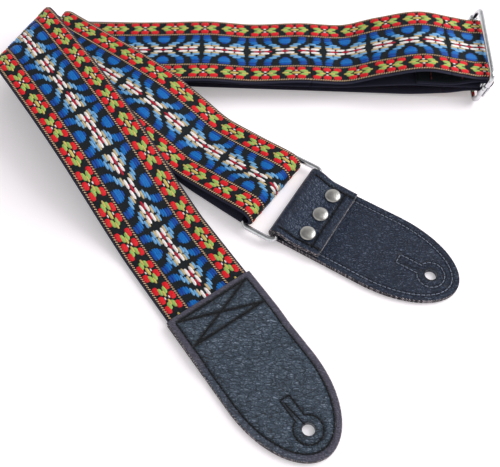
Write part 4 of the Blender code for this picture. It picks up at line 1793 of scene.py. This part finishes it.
@dataclass
class RearTab:
    """The rear tab: double leather looped round the ring and riveted."""

    palette: Palette
    bar: Array
    heading: float = RING_HEADING
    shape: TabShape = TabShape(0.1025, 0.0485)
    leather: float = 0.0014
    clearance: float = CLEARANCE
    wire: float = RING_WIRE
    flap_length: float = 0.0305
    flap_end_width: float = 0.0465
    flap_ease: float = 0.011
    flap_seam: float = 0.0056
    flap_seam_ends: Pair = (0.004, 0.001)
    flap_seam_taper: float = 0.96
    body_seam_under: float = 0.002
    body_seam_depth: float = 0.0005
    slit_seam: Pair = (0.0004, 0.00035)
    rivet_pitch: float = 0.0143
    rivet_from_fold: float = 0.0193
    cap_radius: float = 0.0045
    cap_height: float = 0.0017
    back_radius: float = 0.0040
    back_thickness: float = 0.0007
    stitch_size: Triple = (0.0021, 0.00060, 0.00055)
    cap_seat: float = 0.4
    well_floor: float = -0.002
    row_step: float = 0.0008
    loop_rows: int = 25
    inner_columns: int = 78
    worn_from_fold: float = 0.0135
    worn_reach: float = 0.0055
    fold_at: float = field(init=False, default=0.0)

    def __post_init__(self) -> None:
        """Work out the directions and heights that follow."""
        self.way = heading_vector(self.heading)
        self.side = np.array([*left_of(self.way), 0.0])
        self.step = self.leather + self.clearance
        self.bar_height = 2 * self.step + self.wire / 2

    def plan(self, u: Array) -> Array:
        """Places in plan at distances from the fold."""
        return self.bar + (np.asarray(u)[..., None] - self.bar_height) * self.way

    def layer(self, name: str, radius: float, flap: float, **more: object) -> LeatherSheet:
        """Set out one leather layer: body, loop round the bar, and flap.

        Args:
            name: Name of the piece.
            radius: Radius of its loop.
            flap: Height of its flap.
            more: Other fields of the sheet.

        Returns:
            The sheet, with distances that run from the tip over the loop to the flap's end.
        """
        centre = self.bar_height
        flat = self.flap_length - centre
        body = self.shape.stations(centre, self.row_step)[::-1]
        turns = np.radians(np.linspace(0.0, 180.0, self.loop_rows))[1:]
        fall = Profile([(0.0, centre + radius), (self.flap_ease, flap)])
        rest = np.append(np.arange(self.row_step, flat, self.row_step), flat)
        u = np.concatenate([body, centre - radius * np.sin(turns), centre + rest])
        level = np.full(len(body), centre - radius)
        z = np.concatenate([level, centre - radius * np.cos(turns), fall.height(rest)[0]])
        distance = travelled(u, z)
        du, dz = np.gradient(u, distance), np.gradient(z, distance)
        upward = np.column_stack([dz[:, None] * self.way, -du])
        upward /= np.linalg.norm(upward, axis=1)[:, None]
        half = np.where(np.arange(len(u)) < len(body), self.shape.half(u), self.shape.width / 2)
        on_flap = np.arange(len(u)) >= len(body) + len(turns)
        narrow = (self.shape.width - self.flap_end_width) / 2 * (u - centre)
        half = half - np.where(on_flap, narrow / flat, 0.0)
        middle = np.column_stack([self.plan(u), z])
        return LeatherSheet(name, middle, upward, self.side, half, self.leather, distance,
                            Surface.REAR_LEATHER, Surface.FIBRES, **more)

    def rivets(self, flap_top: float) -> tuple[list[Piece], list[Hole]]:
        """Build the rivets' domed caps and flat backs.

        Args:
            flap_top: Height of the flap's upper face.

        Returns:
            The new pieces, and the wells that the backs sit in.
        """
        pieces: list[Piece] = []
        wells: list[Hole] = []
        seat = flap_top + self.cap_seat * self.clearance
        cap_r, back_r, thick = self.cap_radius, self.back_radius, self.back_thickness
        # Outlines hold radius and height, from the middle of the top to that of the underside.
        dome = [(cap_r * math.sin(a), seat + self.cap_height * math.sqrt(math.cos(a)))
                for a in np.radians(np.linspace(4.0, 78.0, 9))]
        dome += [(cap_r, seat + 0.00026), (0.985 * cap_r, seat + 0.0001)]
        dome += [(0.93 * cap_r, seat), (0.0005, seat)]
        disc = [(0.0004, thick), (0.86 * back_r, thick), (back_r, 0.55 * thick), (back_r, 0.00012)]
        disc += [(0.9 * back_r, 0.00005), (0.5 * back_r, 0.00005)]
        disc += [(0.42 * back_r, 0.0002), (0.0004, 0.0002)]
        for k in range(3):
            place = self.plan(self.rivet_from_fold) + (k - 1) * self.rivet_pitch * self.side[:2]
            cap = turned(self.palette, f"rivet_cap_{k + 1}_dome", dome, place, Surface.NICKEL)
            foot = turned(self.palette, f"rivet_back_{k + 1}_disc", disc, place, Surface.NICKEL)
            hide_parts(f"rivet_cap_{k + 1}")
            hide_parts(f"rivet_back_{k + 1}")
            wells.append((place, back_r + self.clearance, self.well_floor, thick + self.clearance))
            pieces += [cap, foot]
        return pieces, wells

    def worn(self, u: Array, t: Array) -> Array:
        """How worn the outer skin is: most in a band across the flap."""
        return np.exp(-(((u - self.fold_at - self.worn_from_fold) / self.worn_reach) ** 2))

    def flap_seams(self, end: float) -> list[Seam]:
        """Set out the seams along the flap's sides and across it.

        Args:
            end: Distance of the flap's end along the outer layer.

        Returns:
            The seams.
        """
        side = self.shape.width / 2 - self.shape.seam_inset
        across = end - self.flap_seam
        first, last = self.fold_at + self.flap_seam_ends[0], end - self.flap_seam_ends[1]
        lines = [[(first, b), (last, b * self.flap_seam_taper)] for b in (side, -side)]
        return [Seam(np.array(line)) for line in lines + [[(across, side), (across, -side)]]]

    def body_seams(self) -> list[Seam]:
        """Set out the seams round the body and the button hole, and the slit.

        Returns:
            The seams.
        """
        start = self.flap_length - self.body_seam_under
        paths = [self.shape.perimeter(start), self.shape.keyhole(), self.shape.slit()]
        *sewn, slit = [np.column_stack([self.shape.length - p[:, 0], p[:, 1]]) for p in paths]
        return [Seam(p, self.body_seam_depth) for p in sewn] + [Seam(slit, *self.slit_seam, False)]

    def build(self) -> list[Piece]:
        """Build and place the leather, its seams and the rivets.

        Returns:
            The new pieces.
        """
        inner_flap = 2 * self.step + self.leather / 2
        outer_flap = inner_flap + self.step
        radius = self.bar_height - self.leather / 2
        bore = self.shape.hole_diameter / 2
        outer = self.layer("rear_tab_outer_leather", radius, outer_flap, seam_face=-1.0, worn=self.worn,
                           stitch_size=self.stitch_size)
        end = outer.distance[-1]
        self.fold_at = end - self.flap_length
        outer.seams = self.flap_seams(end)
        inner = self.layer("rear_tab_inner_leather", radius - self.step, inner_flap,
                           hole=(self.shape.hole_to_tip, bore), columns=self.inner_columns,
                           thread=Thread.GREY, stitch_size=self.stitch_size, seams=self.body_seams())
        rivets, wells = self.rivets(outer_flap + self.leather / 2)
        hole = (self.plan(self.shape.hole), bore, *self.shape.drill_span)
        sheets = [outer.build(self.palette), inner.build(self.palette)]
        drill(sheets[0], [hole] + wells)
        drill(sheets[1], [hole])
        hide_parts("rear_tab_outer")
        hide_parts("rear_tab_inner")
        leather = sheets + [outer.sew(self.palette), inner.sew(self.palette)]
        for piece in rivets:
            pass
        for piece in leather + rivets:
            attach(piece, "rear_tab")
        return leather + rivets


def bent_wire(sketch: Sketch, line: Array, normal: Array, radius: float, finish: Surface,
              looped: bool, sides: int = 16) -> None:
    """Add round wire along a line of points.

    Args:
        sketch: Where it is added.
        line: Points along the wire's middle.
        normal: Direction square to the line's plane.
        radius: Radius of the wire.
        finish: Its finish.
        looped: Whether the wire closes on itself.
        sides: Faces round the wire.
    """
    ahead = np.roll(line, -1, axis=0) - np.roll(line, 1, axis=0)
    if not looped:
        ahead[0], ahead[-1] = line[1] - line[0], line[-1] - line[-2]
    ahead /= np.linalg.norm(ahead, axis=1)[:, None]
    out = np.cross(ahead, normal)
    out /= np.linalg.norm(out, axis=1)[:, None]
    up = np.cross(out, ahead)
    angles = np.linspace(0.0, 2 * math.pi, sides, endpoint=False)
    ring = np.cos(angles)[None, :, None] * out[:, None] + np.sin(angles)[None, :, None] * up[:, None]
    points = line[:, None] + radius * ring
    run = travelled(*line.T)
    places = np.stack(np.broadcast_arrays(run[:, None], radius * angles[None, :]), axis=-1) / MM
    if looped:
        sketch.grid(points, places, finish, closed=True, looped=True)
    else:
        sketch.tube(points, places, finish, finish)


def rounded_loop(half_long: float, half_short: float, corner: float, long_way: Array,
                 short_way: Array, steps: int = 10) -> Array:
    """Points of a rounded rectangle in the plane of two directions.

    Args:
        half_long: Half its length.
        half_short: Half its breadth.
        corner: Radius of its corners.
        long_way: Direction of its length.
        short_way: Direction of its breadth.
        steps: Steps round each corner.

    Returns:
        Points round it, from its middle.
    """
    signs = ((1, 1), (-1, 1), (-1, -1), (1, -1))
    points = []
    for quarter, (sx, sy) in enumerate(signs):
        for i in range(steps + 1):
            angle = math.radians(90.0) * (quarter + i / steps)
            x = sx * (half_long - corner) + corner * math.cos(angle)
            y = sy * (half_short - corner) + corner * math.sin(angle)
            points.append(x * long_way + y * short_way)
    return np.array(points)


@dataclass
class Ring:
    """The rectangular wire ring between the strap's loop and the rear tab."""

    palette: Palette
    bar: Array
    height: float
    heading: float = RING_HEADING
    wire: float = RING_WIRE
    inner_length: float = 0.052
    pitch: float = 0.020
    corner: float = 0.0034

    def build(self) -> Piece:
        """Build and place the ring.

        Returns:
            The new piece.
        """
        way = heading_vector(self.heading)
        long_way = np.array([*left_of(way), 0.0])
        short_way = np.array([*way, 0.0])
        half_long = (self.inner_length + self.wire) / 2
        loop = rounded_loop(half_long, self.pitch / 2, self.corner, long_way, short_way)
        middle = np.array([*self.bar, self.height]) + self.pitch / 2 * short_way
        sketch = Sketch(self.palette)
        normal = np.cross(long_way, short_way)
        bent_wire(sketch, middle + loop, normal, self.wire / 2, Surface.CHROME, looped=True)
        ring = outward(sketch.build("ring_wire"))
        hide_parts("strap_ring")
        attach(ring, "ring")
        return ring


@dataclass
class Slider:
    """The slider: a wire frame with a centre bar crimped to it."""

    palette: Palette
    lay: Lay
    inner_length: float = 0.055
    corner: float = 0.0040
    crimp_wall: float = 0.0009
    crimp_length: float = 0.0070
    crimp_rim: float = 0.25
    crimp_gap: float = 14.0
    crimp_steps: int = 40
    bar_steps: int = 12

    def build(self) -> list[Piece]:
        """Build and place the frame and the bar.

        Returns:
            The new pieces.
        """
        tilt = math.radians(self.lay.slider_tilt)
        radius = self.lay.slider_wire / 2
        long_way = np.array([*self.lay.turn.axis, 0.0])
        short_way = np.array([*(math.cos(tilt) * self.lay.turn.normal), math.sin(tilt)])
        half = (self.inner_length + self.lay.slider_wire) / 2
        centre = np.array([*self.lay.slider, self.lay.bar_height])
        sketch = Sketch(self.palette)
        loop = rounded_loop(half, self.lay.slider_pitch, self.corner, long_way, short_way)
        normal = np.cross(long_way, short_way)
        bent_wire(sketch, centre + loop, normal, radius, Surface.CHROME, looped=True)
        wire = outward(sketch.build("slider_wire"))
        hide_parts("slider_frame")
        bar = self.bar(centre, half, long_way, short_way)
        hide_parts("slider_bar")
        for piece in (wire, bar):
            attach(piece, "slider")
        return [wire, bar]

    def bar(self, centre: Array, half: float, long_way: Array, short_way: Array) -> Piece:
        """Build the centre bar with a rolled sleeve at each end, open along one side of the wire.

        Args:
            centre: Middle of the frame.
            half: Half the frame's length, to the middle of its wire.
            long_way: Direction of the frame's length.
            short_way: Direction of its breadth.

        Returns:
            The new piece.
        """
        radius = self.lay.slider_wire / 2
        bore = radius + self.lay.clearance / 2
        sketch = Sketch(self.palette)
        reach = half - bore
        line = centre + np.linspace(-reach, reach, self.bar_steps)[:, None] * long_way
        across = np.cross(long_way, short_way)
        bent_wire(sketch, line, across, radius, Surface.CHROME, looped=False)
        outer = bore + self.crimp_wall
        rim = self.crimp_rim * self.crimp_wall
        long = self.crimp_length / 2
        ring = [(bore, -long), (outer - rim, -long), (outer, -long + rim), (outer, long - rim),
                (outer - rim, long), (bore, long)]
        for end in (-1.0, 1.0):
            place = centre + end * half * long_way
            angles = np.radians(np.linspace(self.crimp_gap, 360.0 - self.crimp_gap, self.crimp_steps))
            spokes = np.cos(angles)[:, None] * end * long_way + np.sin(angles)[:, None] * across
            points = np.array([[place + r * spoke + h * short_way for r, h in ring] for spoke in spokes])
            places = np.array([[(a * outer / MM, h / MM) for r, h in ring] for a in angles])
            sketch.tube(points, places, Surface.CHROME, Surface.CHROME)
        return outward(sketch.build("slider_centre_bar"))


@dataclass
class Studio:
    """Pale floor, soft light from the upper right, and the photograph's camera."""

    lens: float = 54.36
    sensor: float = 36.0
    elevation: float = 59.5
    camera_place: Triple = (0.00223, -0.22968, 0.3619)
    key_place: Triple = (0.56, 0.20, 0.60)
    key_size: float = 0.55
    key_power: float = 4.4
    fill_place: Triple = (-0.35, -0.55, 0.60)
    fill_power: float = 1.2
    sky: float = 1.02
    horizon: float = 0.14
    backdrop_top: float = 0.38
    overhead: float = 0.22
    sky_stops: Pair = (0.10, 0.92)
    sky_colour: Colour = (1.0, 0.98, 1.0)
    overhead_from: float = 0.80
    floor_size: float = 12.0
    floor_drop: float = 0.0002
    floor_glow: float = 0.26
    floor_colour: Colour = (0.92, 0.87, 0.90)

    def build(self) -> None:
        """Build the floor, lamps, world and camera."""
        self.floor()
        self.lamp("key", self.key_place, self.key_power, self.key_size)
        self.lamp("fill", self.fill_place, self.fill_power, 2 * self.key_size)
        self.world()
        self.camera()
        bpy.context.scene.view_settings.view_transform = "Standard"

    def floor(self) -> None:
        """A white floor that keeps the soft shadow."""
        bpy.ops.mesh.primitive_plane_add(size=self.floor_size, location=(0.0, 0.0, -self.floor_drop))
        plane = bpy.context.object
        plane.name = "studio_floor"
        board = Coat("studio_floor")
        board.set(Roughness=0.9, Specular_IOR_Level=0.1, Base_Color=(*self.floor_colour, 1.0))
        board.set(Emission_Color=(*WHITE, 1.0))
        glow = board.math("MULTIPLY", board.seen(), self.floor_glow)
        board.join(glow, board.shader.inputs["Emission Strength"])
        plane.data.materials.append(board.material)

    def lamp(self, name: str, place: Triple, power: float, size: float) -> None:
        """Add a square soft light aimed at the strap.

        Args:
            name: Name of the light.
            place: Where it hangs.
            power: Its power in watts.
            size: Length of its side.
        """
        light = bpy.data.lights.new("studio_" + name, "AREA")
        light.energy = power
        light.size = size
        obj = bpy.data.objects.new("studio_" + name, light)
        obj.location = place
        obj.rotation_euler = (-Vector(place)).to_track_quat("-Z", "Y").to_euler()
        bpy.context.scene.collection.objects.link(obj)

    def world(self) -> None:
        """A soft sky on the key light's side, behind a plain white backdrop for what is seen."""
        world = bpy.data.worlds.new("studio_sky")
        world.use_nodes = True
        board = NodeBoard(world.node_tree)
        sky = board.tree.nodes["Background"]
        sky.inputs["Strength"].default_value = self.sky
        low, high = self.sky_stops
        soft = [(low, darker(WHITE, self.horizon)), (high, self.sky_colour)]
        self.shade(board, Vector(self.key_place).normalized(), soft, sky)
        backdrop = board.node("Background")
        seen = [(self.backdrop_top, WHITE), (self.overhead_from, darker(WHITE, self.overhead))]
        self.shade(board, Vector((0.0, 0.0, 1.0)), seen, backdrop)
        feeds = {"Fac": board.seen(), 1: sky.outputs["Background"], 2: backdrop.outputs["Background"]}
        both = board.node("MixShader", feeds)
        board.join(both.outputs["Shader"], board.tree.nodes["World Output"].inputs["Surface"])
        bpy.context.scene.world = world

    @staticmethod
    def shade(board: NodeBoard, towards: Vector, stops: list[tuple[float, Colour]],
              target: bpy.types.Node) -> None:
        """Colour a background by how far each direction points one way.

        Args:
            board: The world's node tree.
            towards: The direction that the colours run to.
            stops: Place and colour of the two ends.
            target: The background that takes the colour.
        """
        way = board.node("TexCoord").outputs["Generated"]
        aim = board.node("VectorMath", {0: way, 1: towards}, operation="DOT_PRODUCT")
        board.join(board.ramp(aim.outputs["Value"], stops), target.inputs["Color"])

    def camera(self) -> None:
        """A camera at the photograph's angle."""
        data = bpy.data.cameras.new("photo_camera")
        data.lens = self.lens
        data.sensor_width = self.sensor
        data.sensor_fit = "HORIZONTAL"
        data.clip_start = 0.01
        obj = bpy.data.objects.new("photo_camera", data)
        obj.location = self.camera_place
        obj.rotation_euler = (math.radians(90.0 - self.elevation), 0.0, 0.0)
        bpy.context.scene.collection.objects.link(obj)
        bpy.context.scene.camera = obj


def main() -> None:
    """Build every sub-assembly round the frame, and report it."""
    logging.basicConfig(level=logging.INFO, format="%(name)s: %(message)s")
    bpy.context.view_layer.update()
    palette = Palette()
    joints = {j["name"]: j for j in frame["record"]["behaviour"]["joints"]}
    strap = Strap(palette)
    made = strap.build()
    made += FrontTab(palette, strap.lay).build()
    ring_bar = np.array(joints["ring_swing"]["pos_m"])
    tab_bar = np.array(joints["rear_tab_swing"]["pos_m"])
    made.append(Ring(palette, ring_bar[:2], ring_bar[2]).build())
    made += RearTab(palette, tab_bar[:2]).build()
    made += Slider(palette, strap.lay).build()
    Studio().build()
    for piece in made:
        LOG.info("piece %s: %d faces", piece.name, len(piece.data.polygons))


if __name__ == "__main__":
    main()
